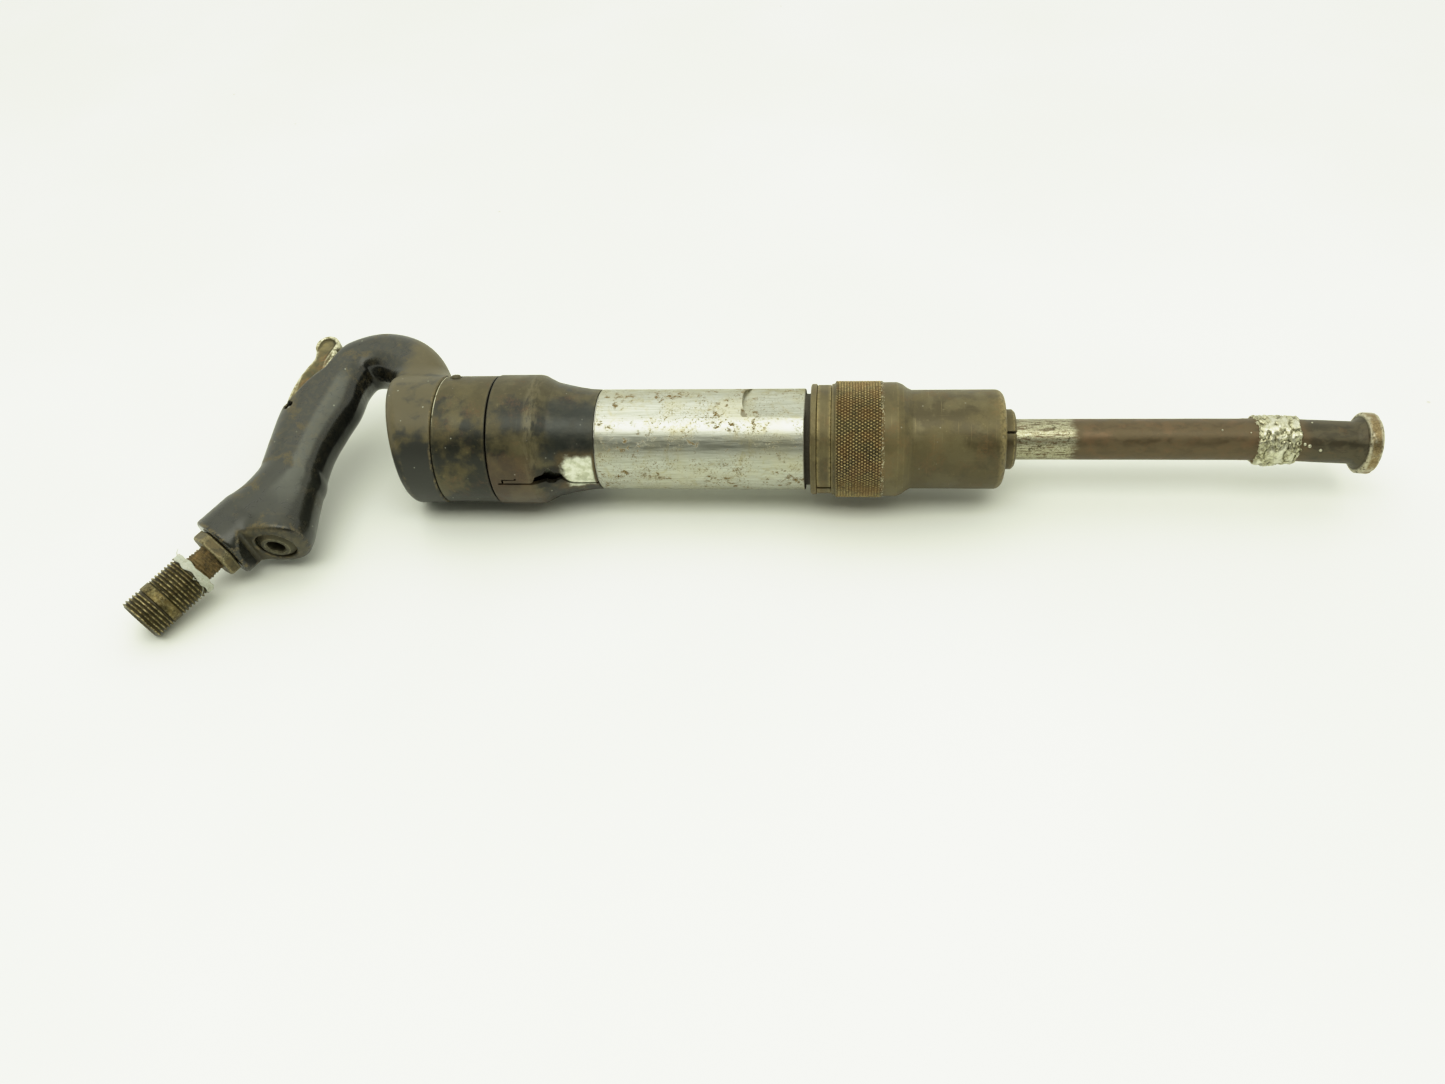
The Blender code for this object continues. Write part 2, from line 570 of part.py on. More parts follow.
def build_deflector():
    deflector = turned("exhaust_deflector", DEFLECTOR, BLACK, 40)
    cut(deflector, radial_prism(SPLIT_LINE, 20.6, 36.0))
    # open ring that holds the deflector against its step
    ring = turned("deflector_snap_ring", ring_profile(49.42, 49.78, 22.25, 23.1), STEEL, 40)
    cut(ring, radial_block(48, 52, 150, 164, 20, 26))


# ================================================================ retainer and what it holds
# Outside up to the rounded nose, then the bore from the nose back: x, radius
RETAINER = [
    (149.3, 21.8), (149.3, 25.5), (149.8, 25.95), (151.7, 25.95), (152.1, 25.5), (152.1, 24.0),
    (158.9, 24.0), (158.9, 26.0), (160.4, 26.0), (160.9, 27.15), (181.8, 27.15), (182.3, 26.6),
    (189.0, 26.6), (191.4, 25.6), (193.6, 23.7), (195.4, RETAINER_NOSE_R),
] + arc(
    (RETAINER_X1 - RETAINER_EDGE_R, RETAINER_NOSE_R - RETAINER_EDGE_R), RETAINER_EDGE_R, 90, -22.5
) + [
    (RETAINER_X1, 14.3), (228.0, 14.3), (228.0, 19.6), (190.0, 19.6), (188.2, 21.8),
]


def build_retainer():
    retainer = turned("retainer", RETAINER, BROWN, 40)
    cut(retainer, radial_block(154.2, 157.0, -108, -103, 20, 26))
    # open spring band whose tang drops into the retainer's hole
    lock = turned("retainer_lock_spring", ring_profile(152.5, 158.5, 24.25, 24.95), BROWN, 40)
    cut(lock, radial_block(151, 160, -101.5, -97.5, 22, 28))
    join(lock, radial_block(154.6, 156.6, -106.9, -104.1, 22.2, 24.6))


def build_bumper():
    turned("retainer_bumper", [
        (211.5, 10.3), (211.5, 17.6), (213.0, 19.1), (217.5, 19.1), (219.0, 17.6), (219.0, 10.3),
    ], RUBBER)


def build_split_sleeve():
    keep_from, reach = SPLIT_GAP / 2, 30
    cutter_section = [(keep_from, -reach), (keep_from, reach), (-reach, reach), (-reach, -reach)]
    for label, gamma in (("upper", SPLIT_GAMMA + 90), ("lower", SPLIT_GAMMA - 90)):
        half = turned(f"split_sleeve_{label}", [
            (220.0, 9.8), (220.0, 19.0), (227.6, 19.0), (227.6, 13.85), (241.4, 13.85),
            (242.6, 12.6), (242.6, 9.8),
        ], BROWN, start=-math.radians(SPLIT_GAMMA))
        cut(half, skinned([[(x, *beside(gamma, out, across)) for out, across in cutter_section]
                           for x in (215, 250)]))


# ================================================================ tool
FLANGE_X1 = FLANGE_X0 + FLANGE_T
# Shank, collar, rod, weld bead and flange: x, radius, height of the bead's unevenness
TOOL = [
    (SHANK_X0, 7.4, 0), (SHANK_X0 + 1.2, SHANK_R, 0), (COLLAR_X0, SHANK_R, 0),
    (COLLAR_X0 + 0.01, COLLAR_R - 1, 0), (COLLAR_X0 + 1, COLLAR_R, 0),
    (COLLAR_X1 - 1.5, COLLAR_R, 0), (COLLAR_X1, COLLAR_R - 2, 0), (COLLAR_X1 + 3.5, ROD_R, 0),
    (347.8, ROD_R, 0), (349.6, ROD_R + 0.3, 0.25), (353.0, ROD_R + 1.1, 0.4),
    (357.9, ROD_R + 0.9, 0.4), (362.5, ROD_R + 0.75, 0.3), (367.4, ROD_R + 0.4, 0.15),
    (368.6, ROD_R + 0.2, 0), (FLANGE_X0 - 2.0, ROD_R + 0.2, 0), (FLANGE_X0, ROD_R + 0.8, 0),
    (FLANGE_X0 + 0.01, FLANGE_R - 0.5, 0), (FLANGE_X0 + 0.6, FLANGE_R, 0),
    (FLANGE_X1 - 0.7, FLANGE_R, 0), (FLANGE_X1, FLANGE_R - 0.7, 0),
]


def tool_ring(x, radius, wobble, segs=32):
    """Ring of the tool at x, square to the straight or to the leaning axis."""
    axis = Vector((1, 0, 0))
    center = Vector((x, 0, 0))
    if x > WELD_X:
        axis = Vector((math.cos(BEND), 0, 0)) + LEAN * math.sin(BEND)
        center = Vector((WELD_X, 0, 0)) + axis * (x - WELD_X)
    side = axis.cross(Vector((0, 1, 0))).normalized()
    up = axis.cross(side)
    ring = []
    for k in range(segs):
        angle = 2 * math.pi * k / segs
        reach = radius + wobble * math.sin(3 * angle + x)
        ring.append(center + (side * math.cos(angle) + up * math.sin(angle)) * reach)
    return ring


def build_tool():
    finish("tool_bit", skinned([tool_ring(*station) for station in TOOL]), BROWN,
           origin=(SHANK_X0, 0, 0))


build_handle()
build_lever()
build_throttle_valve()
build_throttle_spring()
build_inlet_bushing()
build_hose_fittings()
build_clamp_sleeve()
build_valve()
build_barrel()
build_piston()
build_shank_bushing()
build_deflector()
build_retainer()
build_bumper()
build_split_sleeve()
build_tool()
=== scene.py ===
"""A worn air hammer lying on a white bench, with its handle, throttle lever, inlet fittings,
clamp sleeve, exhaust deflector, barrel, knurled retainer and a repaired tool.

Pieces are modelled in a working frame in millimetres: x runs along the barrel towards the
tool, y up the plane of the handle, z square to both; x = 0 is the deflector's rear face.
Angles round the barrel are degrees from z towards y.
"""

import json
import math
from functools import cached_property

import bpy
import numpy as np
from mathutils import Matrix, Vector, noise


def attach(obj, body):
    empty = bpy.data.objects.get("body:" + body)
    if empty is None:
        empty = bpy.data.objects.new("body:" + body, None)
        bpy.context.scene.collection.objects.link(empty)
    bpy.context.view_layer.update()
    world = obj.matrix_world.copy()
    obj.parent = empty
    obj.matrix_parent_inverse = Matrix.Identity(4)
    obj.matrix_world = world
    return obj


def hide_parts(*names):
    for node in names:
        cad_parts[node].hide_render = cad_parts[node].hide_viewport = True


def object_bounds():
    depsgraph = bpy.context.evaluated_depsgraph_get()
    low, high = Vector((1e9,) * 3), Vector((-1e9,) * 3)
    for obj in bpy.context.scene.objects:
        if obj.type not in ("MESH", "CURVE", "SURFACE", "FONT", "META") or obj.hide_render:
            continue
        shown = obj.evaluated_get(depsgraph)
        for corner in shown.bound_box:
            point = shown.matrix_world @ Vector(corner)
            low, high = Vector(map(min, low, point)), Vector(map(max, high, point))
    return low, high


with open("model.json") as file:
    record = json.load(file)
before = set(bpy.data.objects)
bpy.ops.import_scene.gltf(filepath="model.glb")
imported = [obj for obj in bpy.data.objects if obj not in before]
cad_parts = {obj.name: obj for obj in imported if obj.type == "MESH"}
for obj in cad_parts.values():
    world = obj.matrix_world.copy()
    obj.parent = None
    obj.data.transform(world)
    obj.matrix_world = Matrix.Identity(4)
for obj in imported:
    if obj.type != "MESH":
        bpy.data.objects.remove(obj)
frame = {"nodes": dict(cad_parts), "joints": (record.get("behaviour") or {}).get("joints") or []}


def plain(box):
    return [[float(c) for c in corner] for corner in box]


cad_box = plain(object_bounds())

# ------------------------------------------------------------------ picture tone
view = bpy.context.scene.view_settings
view.view_transform = "Standard"
view.look = "None"
view.use_curve_mapping = True
view.curve_mapping.white_level = (1.6, 1.6, 1.6)
# combined curve: a soft shoulder, so the white bench keeps its tone
tone_curve = view.curve_mapping.curves[3]
for at, level in ((0.25, 0.41), (0.40, 0.66), (0.55, 0.84), (0.70, 0.91), (0.85, 0.945)):
    tone_curve.points.new(at, level)
tone_curve.points[-1].location = (1.0, 0.965)
# blue curve: slightly warmer
for at, level in ((0.05, 0.0455), (0.15, 0.138), (0.35, 0.338), (0.60, 0.592)):
    view.curve_mapping.curves[2].points.new(at, level)
view.curve_mapping.update()

# ------------------------------------------------------------------ working frame
JOINT = {j["name"]: j for j in frame["joints"]}
BARREL_DIR = Vector(JOINT["deflector_turn"]["axis"])
HANDLE_DIR = -Vector(JOINT["throttle_pin_travel"]["axis"])
SIDE_DIR = -Vector(JOINT["throttle_lever_press"]["axis"])
ORIGIN = Vector(JOINT["deflector_turn"]["pos_m"]) - BARREL_DIR * 0.025
AXES = Matrix((BARREL_DIR, HANDLE_DIR, SIDE_DIR)).transposed().to_4x4()
TO_WORLD = np.array(Matrix.Translation(ORIGIN) @ AXES @ Matrix.Scale(0.001, 4))

# driving dimensions, mm
HEAD_R, BARREL_R, ROD_R = 30.9, 23.8, 9.4
THROTTLE_X, CAP_Y = -98.5, -63.5            # throttle bore line, face of its cap
PIVOT_X, PIVOT_Y = -109.4, 13.2             # lever pin
INLET = np.array([-127.9, -69.0, 0.0])      # mouth of the air inlet
INLET_DIR = np.array([-0.562, -0.827, 0.0])
INLET_DIR /= np.linalg.norm(INLET_DIR)
INLET_SIDE = np.array([-INLET_DIR[1], INLET_DIR[0], 0.0])
LOCK_X, LOCK_ANGLE, LOCK_HOLE_R = -20.6, 37.5, 2.8
FLAT_ANGLE = 17.0                           # first of the two flats on the barrel
SPLIT_ANGLE = -24.8                         # plane between the sleeve halves
DETAIL = 1.0


# ------------------------------------------------------------------ mesh helpers
def polar(radius, angle):
    """(y, z) at an angle round the barrel."""
    angle = math.radians(angle)
    return radius * math.sin(angle), radius * math.cos(angle)


LOCK_DIR = (0, *polar(1, LOCK_ANGLE))


def skin(rings, count, closed=False):
    """Quads between successive rings of count vertices."""
    faces = []
    for i in range(rings if closed else rings - 1):
        near, far = i * count, (i + 1) % rings * count
        for j in range(count):
            k = (j + 1) % count
            faces.append((near + j, near + k, far + k, far + j))
    return faces


def ends(rings, count):
    """The two end faces of a stack of rings."""
    return [tuple(range(count))[::-1], tuple(range((rings - 1) * count, rings * count))]


def outward(points, faces):
    """Turns the faces round when the skin's signed volume is negative."""
    volume = 0.0
    for face in faces:
        first = points[face[0]]
        for i in range(1, len(face) - 1):
            cross = np.cross(points[face[i]], points[face[i + 1]])
            volume += float(np.dot(first, cross))
    return faces if volume > 0 else [tuple(reversed(face)) for face in faces]


def store_places(mesh, points):
    """Keeps the working-frame millimetres as attribute d for the materials."""
    places = mesh.attributes.new("d", "FLOAT_VECTOR", "POINT")
    places.data.foreach_set("vector", points.astype(np.float32).ravel())


def mesh_object(name, points, faces, wear=None, cav=None):
    points = np.asarray(points, float)
    # grid skins come as arrays that already face outward
    faces = outward(points, faces) if isinstance(faces, list) else faces.tolist()
    mesh = bpy.data.meshes.new(name)
    world_points = points @ TO_WORLD[:3, :3].T + TO_WORLD[:3, 3]
    mesh.from_pydata(world_points.tolist(), [], faces)
    mesh.update()
    for key, values in (("wear", wear), ("cav", cav)):
        values = np.zeros(len(points)) if values is None else values
        layer = mesh.attributes.new(key, "FLOAT", "POINT")
        layer.data.foreach_set("value", np.asarray(values, np.float32))
    store_places(mesh, points)
    ob = bpy.data.objects.new(name, mesh)
    bpy.context.scene.collection.objects.link(ob)
    return ob


def build(name, points, faces, material, node=None, body="hammer_body", wear=None, cav=None,
          sharp=None):
    """Finished piece that rides on a body; node is the CAD piece it replaces."""
    ob = mesh_object(name, points, faces, wear, cav)
    ob.data.shade_smooth()
    if sharp:
        ob.data.set_sharp_from_angle(angle=math.radians(sharp))
    ob.data.materials.append(material)
    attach(ob, body)
    if node:
        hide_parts(node)
    return ob


def rounded(points, step):
    """Profile (along, radius, rounding) with its corners rounded and long sides divided.

    Returns rows: along, radius, wear on convex corners, cavity in concave ones.
    """
    out = []
    for i, (along, radius, rounding) in enumerate(points):
        corner = np.array([along, radius], float)
        if i in (0, len(points) - 1) or rounding <= 0:
            out.append((corner, 0.0, 0.0))
            continue
        back = np.array(points[i - 1][:2], float) - corner
        ahead = np.array(points[i + 1][:2], float) - corner
        back_len, ahead_len = np.linalg.norm(back), np.linalg.norm(ahead)
        back, ahead = back / back_len, ahead / ahead_len
        opening = math.acos(max(-1, min(1, float(back @ ahead))))
        setback = min(rounding / math.tan(opening / 2), back_len * 0.46, ahead_len * 0.46)
        arc_r = setback * math.tan(opening / 2)
        halfway = (back + ahead) / np.linalg.norm(back + ahead)
        center = corner + halfway * (arc_r / math.sin(opening / 2))
        from_center = corner + back * setback - center
        to_end = corner + ahead * setback - center
        steps = 5 if arc_r < 2 else 9
        convex = (back[0] * ahead[1] - back[1] * ahead[0]) > 0
        start = math.atan2(from_center[1], from_center[0])
        sweep = math.atan2(to_end[1], to_end[0]) - start
        sweep = (sweep + math.pi) % (2 * math.pi) - math.pi
        turn = 1 - opening / math.pi
        for j in range(steps + 1):
            angle = start + sweep * j / steps
            weight = math.sin(math.pi * (j + 0.5) / (steps + 1)) * min(1, 2.2 * turn)
            place = center + arc_r * np.array([math.cos(angle), math.sin(angle)])
            out.append((place, weight if convex else 0.0, 0.0 if convex else weight))
    rows = []
    for i, (place, wear, cav) in enumerate(out):
        if i:
            last = out[i - 1][0]
            extra = int(np.linalg.norm(place - last) // step)
            for j in range(1, extra + 1):
                rows.append((*(last + (place - last) * j / (extra + 1)), 0.0, 0.0))
        rows.append((*place, wear, cav))
    return np.array(rows).T


def with_fine_rows(profile, start, stop, rows, radius):
    """Puts evenly spaced rows of one radius in place of profile rows start to stop."""
    band = np.zeros((4, len(rows)))
    band[0], band[1] = rows, radius
    return np.hstack([profile[:, :start], band, profile[:, stop:]])


def basis(axis):
    axis = np.array(axis, float)
    axis /= np.linalg.norm(axis)
    helper = np.array([0, 0, 1.0]) if abs(axis[2]) < 0.9 else np.array([0, 1.0, 0])
    first = np.cross(helper, axis)
    first /= np.linalg.norm(first)
    return axis, first, np.cross(axis, first)


def around_axis(along, angles, radii, base, axis):
    axis, first, second = basis(axis)
    spokes = np.cos(angles)[..., None] * first + np.sin(angles)[..., None] * second
    points = np.array(base, float) + along[..., None] * axis + radii[..., None] * spokes
    return points.reshape(-1, 3)


def full_turn(segs):
    return np.arange(segs) * 2 * math.pi / segs


def lathe(points, segs, base=(0, 0, 0), axis=(1, 0, 0), step=2.5, shape=None):
    """Turned skin: a solid when the profile starts and ends at radius 0, else a ring.

    shape(along, angles, radii) may return changed places and radii.
    """
    segs = max(24, int(segs * DETAIL))
    closed = not (points[0][1] == 0 and points[-1][1] == 0)
    if closed:
        # start in the middle of the longest side so that every real corner is rounded
        count = len(points)
        longest = max(range(count),
                      key=lambda i: math.dist(points[i][:2], points[(i + 1) % count][:2]))
        here, there = points[longest], points[(longest + 1) % count]
        middle = ((here[0] + there[0]) / 2, (here[1] + there[1]) / 2, 0)
        points = [middle, *points[longest + 1:], *points[:longest + 1], middle]
    profile = rounded(points, step)
    if closed:
        profile = profile[:, :-1]
    rings = profile.shape[1]
    along, radii = (np.repeat(row[:, None], segs, 1) for row in profile[:2])
    angles = np.repeat(full_turn(segs)[None], rings, 0)
    if shape:
        along, radii = shape(along, angles, radii)
    verts = around_axis(along, angles, radii, base, axis)
    wear, cav = (np.repeat(row, segs) for row in profile[2:])
    faces = skin(rings, segs, closed)
    if not closed:
        # each end ring shrinks to one pole
        used = slice(segs - 1, (rings - 1) * segs + 1)
        verts, wear, cav = verts[used], wear[used], cav[used]
        last = len(verts) - 1
        faces = [tuple(dict.fromkeys(min(max(q - segs + 1, 0), last) for q in face))
                 for face in faces]
    return verts, faces, wear, cav


def turned(name, points, material, node, body="hammer_body", **shape):
    verts, faces, wear, cav = lathe(points, **shape)
    return build(name, verts, faces, material, node, body, wear, cav, sharp=50)


def radial_prism(outline, radii):
    """Cutter over an outline of (x, angle) between two radii."""
    points = [(x, *polar(radius, angle)) for radius in radii for x, angle in outline]
    return points, skin(2, len(outline)) + ends(2, len(outline))


def square_prism(corners, angle):
    """Cutter from two equal rings of (x, out, side), out pointing at an angle of the barrel."""
    out_dir, side_dir = polar(1, angle), polar(1, angle + 90)
    points = [(x, out_dir[0] * out + side_dir[0] * side, out_dir[1] * out + side_dir[1] * side)
              for x, out, side in corners]
    count = len(corners) // 2
    return points, ends(2, count) + skin(2, count)


def cut(ob, points, faces):
    """Takes a cutter out of a finished piece; the solver keeps the wear attributes."""
    tool = mesh_object("cutter", points, faces)
    modifier = ob.modifiers.new("cut", "BOOLEAN")
    modifier.operation, modifier.solver, modifier.object = "DIFFERENCE", "EXACT", tool
    bpy.context.view_layer.update()
    graph = bpy.context.evaluated_depsgraph_get()
    made = bpy.data.meshes.new_from_object(
        ob.evaluated_get(graph), preserve_all_data_layers=True, depsgraph=graph)
    ob.modifiers.clear()
    old = ob.data
    materials = list(old.materials)
    ob.data = made
    made.name = old.name
    bpy.data.objects.remove(tool, do_unlink=True)
    bpy.data.meshes.remove(old)
    made.materials.clear()
    for material in materials:
        made.materials.append(material)
    for polygon in made.polygons:
        polygon.material_index = 0
    to_working = np.linalg.inv(TO_WORLD)
    places = np.zeros(len(made.vertices) * 3, np.float32)
    made.vertices.foreach_get("co", places)
    if "d" in made.attributes:
        made.attributes.remove(made.attributes["d"])
    store_places(made, places.reshape(-1, 3) @ to_working[:3, :3].T + to_working[:3, 3])
    made.shade_smooth()
    made.set_sharp_from_angle(angle=math.radians(40))


# ------------------------------------------------------------------ distance-field castings
def surface_net(field, low, high, cell):
    """Skin where field = 0, found on a grid and moved onto the surface by Newton steps."""
    cell = cell / 1.0
    axes = [np.arange(a, b + cell, cell) for a, b in zip(low, high)]
    values = field(*np.meshgrid(*axes, indexing="ij")).astype(np.float32)
    inside = values < 0
    size = [len(axis) - 1 for axis in axes]
    corners = list(np.ndindex(2, 2, 2))
    total = np.zeros(size, np.int8)
    for i, j, k in corners:
        total += inside[i:size[0] + i, j:size[1] + j, k:size[2] + k]
    active = (total > 0) & (total < 8)
    cells = np.argwhere(active)
    index = np.full(active.shape, -1, np.int64)
    index[active] = np.arange(len(cells))
    # one vertex per cell: the mean of the crossings on its edges
    crossings, count = np.zeros((len(cells), 3)), np.zeros(len(cells))
    for start in corners:
        for end in corners:
            if end > start and sum(abs(p - q) for p, q in zip(start, end)) == 1:
                value_a = values[tuple((cells + start).T)]
                value_b = values[tuple((cells + end).T)]
                crossed = (value_a < 0) != (value_b < 0)
                t = np.where(crossed, value_a / np.where(crossed, value_a - value_b, 1), 0)
                place = np.array(start, float)
                place = place + (np.array(end, float) - place) * t[:, None]
                crossings += np.where(crossed[:, None], place, 0)
                count += crossed
    points = (cells + crossings / count[:, None]) * cell + np.array([a[0] for a in axes])
    # one quad round every crossed grid edge
    faces = []
    for axis in range(3):
        near, far = [slice(None)] * 3, [slice(None)] * 3
        near[axis], far[axis] = slice(0, -1), slice(1, None)
        near_in = inside[tuple(near)]
        edges = np.argwhere(near_in != inside[tuple(far)])
        first, second = [(1, 2), (2, 0), (0, 1)][axis]
        for side in (first, second):
            edges = edges[(edges[:, side] > 0) & (edges[:, side] < values.shape[side] - 1)]
        quad = []
        for first_step, second_step in ((-1, -1), (0, -1), (0, 0), (-1, 0)):
            around = edges.copy()
            around[:, first] += first_step
            around[:, second] += second_step
            quad.append(index[tuple(around.T)])
        quad = np.stack(quad, 1)
        flip = ~near_in[tuple(edges.T)]
        quad[flip] = quad[flip][:, ::-1]
        faces.append(quad)

    reach = 0.06
    for _ in range(2):
        slope = np.stack([(field(*(points + d).T) - field(*(points - d).T)) / (2 * reach)
                          for d in np.eye(3) * reach], 1)
        steepness = np.maximum((slope * slope).sum(1), 0.05)
        move = -(field(*points.T) / steepness)[:, None] * slope
        length = np.linalg.norm(move, axis=1, keepdims=True)
        points = points + move * np.minimum(1, 0.5 * cell / np.maximum(length, 1e-9))
    # curvature gives edge wear and cavities
    reach = 0.9
    bend = sum(field(*(points + d).T) + field(*(points - d).T) for d in np.eye(3) * reach)
    bend = (bend - 6 * field(*points.T)) / (reach * reach)
    wear = np.clip(bend / 0.45 - 0.25, 0, 1)
    return points, np.concatenate(faces), wear, np.clip(-bend / 0.4 - 0.25, 0, 1)


def cast(name, field, low, high, cell, material, node, body="hammer_body"):
    points, faces, wear, cav = surface_net(field, low, high, cell)
    build(name, points, faces, material, node, body, wear, cav)


def soft_min(a, b, width):
    t = np.clip(0.5 + 0.5 * (b - a) / width, 0, 1)
    return b * (1 - t) + a * t - width * t * (1 - t)


def soft_max(a, b, width):
    return -soft_min(-a, -b, width)


def in_plane(shape, x, y, *args):
    """Values of a shape that does not change with z, found once per column of a grid."""
    if np.ndim(x) == 3:
        return shape(x[:, :, 0], y[:, :, 0], *args)[..., None]
    return shape(x, y, *args)


def polygon_distance(x, y, corners):
    """Signed distance to a polygon, negative inside."""
    corners = np.array(corners, float)
    nearest = np.full(np.shape(x), 1e9)
    inside = np.zeros(np.shape(x), bool)
    for i, start in enumerate(corners):
        end = corners[(i + 1) % len(corners)]
        edge = end - start
        dx, dy = x - start[0], y - start[1]
        t = np.clip((dx * edge[0] + dy * edge[1]) / (edge @ edge), 0, 1)
        nearest = np.minimum(nearest, (dx - edge[0] * t) ** 2 + (dy - edge[1] * t) ** 2)
        spans = ((start[1] <= y) & (end[1] > y)) | ((end[1] <= y) & (start[1] > y))
        if edge[1] != 0:
            inside ^= spans & (x < start[0] + (y - start[1]) / edge[1] * edge[0])
    nearest = np.sqrt(nearest)
    return np.where(inside, -nearest, nearest)


def curve(points, steps):
    """Catmull-Rom curve through the points."""
    points = np.array(points, float)
    last = len(points) - 1
    out = []
    for i in range(last):
        before, here, there = points[max(i - 1, 0)], points[i], points[i + 1]
        after = points[min(i + 2, last)]
        for k in range(steps):
            t = k / steps
            out.append(0.5 * (2 * here + (there - before) * t
                              + (2 * before - 5 * here + 4 * there - after) * t * t
                              + (3 * here - before - 3 * there + after) * t ** 3))
    out.append(points[-1])
    return np.array(out)


# ------------------------------------------------------------------ shader graph helpers
def rgb(*levels):
    """Linear colour from 0 to 255 display levels."""
    c = np.array(levels, float) / 255
    linear = np.where(c <= 0.04045, c / 12.92, ((c + 0.055) / 1.055) ** 2.4)
    return tuple(float(v) for v in linear)


def scaled(color, factor):
    return tuple(c * factor for c in color)


class Value:
    """A socket of a shader graph; arithmetic on it adds math nodes."""

    def __init__(self, graph, socket):
        self.graph = graph
        self.socket = socket

    def __add__(self, other):
        return self.graph.math("ADD", self, other)

    def __sub__(self, other):
        return self.graph.math("SUBTRACT", self, other)

    def __rsub__(self, other):
        return self.graph.math("SUBTRACT", other, self)

    def __mul__(self, other):
        return self.graph.math("MULTIPLY", self, other)

    def __abs__(self):
        return self.graph.math("ABSOLUTE", self, 0.0)

    def max(self, other):
        return self.graph.math("MAXIMUM", self, other)

    def ramp(self, zero_at, one_at):
        """Smooth mask, 0 at and beyond zero_at, 1 at and beyond one_at, in either order."""
        falling = zero_at >= one_at
        return self.graph.add("ShaderNodeMapRange", 0, {
            "Value": self, "From Min": min(zero_at, one_at), "From Max": max(zero_at, one_at),
            "To Min": float(falling), "To Max": float(not falling),
        }, interpolation_type="SMOOTHSTEP")


class Graph:
    def __init__(self, tree, output_kind, shader_kind):
        self.tree = tree
        tree.nodes.clear()
        output = tree.nodes.new(output_kind)
        self.shader = tree.nodes.new(shader_kind)
        tree.links.new(self.shader.outputs[0], output.inputs[0])

    def put(self, socket, value):
        if isinstance(value, Value):
            self.tree.links.new(value.socket, socket)
        elif isinstance(value, tuple) and socket.type == "RGBA":
            socket.default_value = (*value, 1)
        else:
            socket.default_value = value

    def add(self, kind, outlet, inputs=None, **settings):
        node = self.tree.nodes.new(kind)
        for key, value in settings.items():
            setattr(node, key, value)
        for key, value in (inputs or {}).items():
            self.put(node.inputs[key], value)
        return Value(self, node.outputs[outlet])

    def math(self, operation, first, second, clamp=False):
        return self.add("ShaderNodeMath", 0, {0: first, 1: second},
                        operation=operation, use_clamp=clamp)

    def mix(self, mask, base, top):
        """Mix of two colours."""
        return self.add("ShaderNodeMix", 2, {0: mask, 6: base, 7: top}, data_type="RGBA")

    def layers(self, value, *coats):
        """A number overlaid in turn by coats of (mask, number)."""
        for mask, top in coats:
            value = self.add("ShaderNodeMix", 0, {0: mask, 2: value, 3: top},
                             data_type="FLOAT")
        return value

    def separate(self, vector):
        first = self.add("ShaderNodeSeparateXYZ", 0, {0: vector})
        return [Value(self, socket) for socket in first.socket.node.outputs]


class Material(Graph):
    """Principled material; coat() and bump() build up its colour and normal."""

    SEED_STEP = 17.3    # every pattern is shifted by another step

    def __init__(self, name, base_color, object_space=False):
        self.material = bpy.data.materials.new(name)
        self.material.use_nodes = True
        super().__init__(self.material.node_tree, "ShaderNodeOutputMaterial",
                         "ShaderNodeBsdfPrincipled")
        self.color = base_color
        self.normal = None
        self.seed = 0.0
        if object_space:
            metres = self.add("ShaderNodeTexCoord", "Object")
            self.place = self.add("ShaderNodeVectorMath", 0, {0: metres, "Scale": 1000.0},
                                  operation="SCALE")
        else:
            self.place = self.attribute("d", "Vector")

    def attribute(self, name, outlet="Fac"):
        return self.add("ShaderNodeAttribute", outlet, attribute_name=name)

    @cached_property
    def wear(self):
        return self.attribute("wear")

    @cached_property
    def cav(self):
        return self.attribute("cav")

    def xyz(self):
        """Place in millimetres."""
        return self.separate(self.place)

    def facing(self):
        """Surface normal in the world."""
        return self.separate(self.add("ShaderNodeNewGeometry", "Normal"))

    def shifted(self, stretch):
        self.seed += self.SEED_STEP
        return self.add("ShaderNodeMapping", 0, {
            "Vector": self.place, "Scale": stretch,
            "Location": (self.seed, -self.seed * 0.7, self.seed * 1.3)})

    def noise(self, scale, detail=4.0, rough=0.6, stretch=(1, 1, 1), dist=0.0):
        """scale is in cycles per millimetre."""
        return self.add("ShaderNodeTexNoise", "Fac", {
            "Vector": self.shifted(stretch), "Scale": scale, "Detail": detail,
            "Roughness": rough, "Distortion": dist})

    def dots(self, scale):
        """Distance to scattered points."""
        return self.add("ShaderNodeTexVoronoi", "Distance", {
            "Vector": self.shifted((1, 1, 1)), "Scale": scale, "Randomness": 1.0})

    def coat(self, mask, color):
        self.color = self.mix(mask, self.color, color)

    def bump(self, height, strength, depth):
        """depth is in millimetres."""
        inputs = {"Strength": strength, "Distance": depth * 0.001, "Height": height}
        if self.normal:
            inputs["Normal"] = self.normal
        self.normal = self.add("ShaderNodeBump", 0, inputs)

    def finish(self, rough, metal, extra=None):
        inputs = {"Base Color": self.color, "Roughness": rough, "Metallic": metal,
                  "Normal": self.normal, **(extra or {})}
        for key, value in inputs.items():
            self.put(self.shader.inputs[key], value)
        return self.material


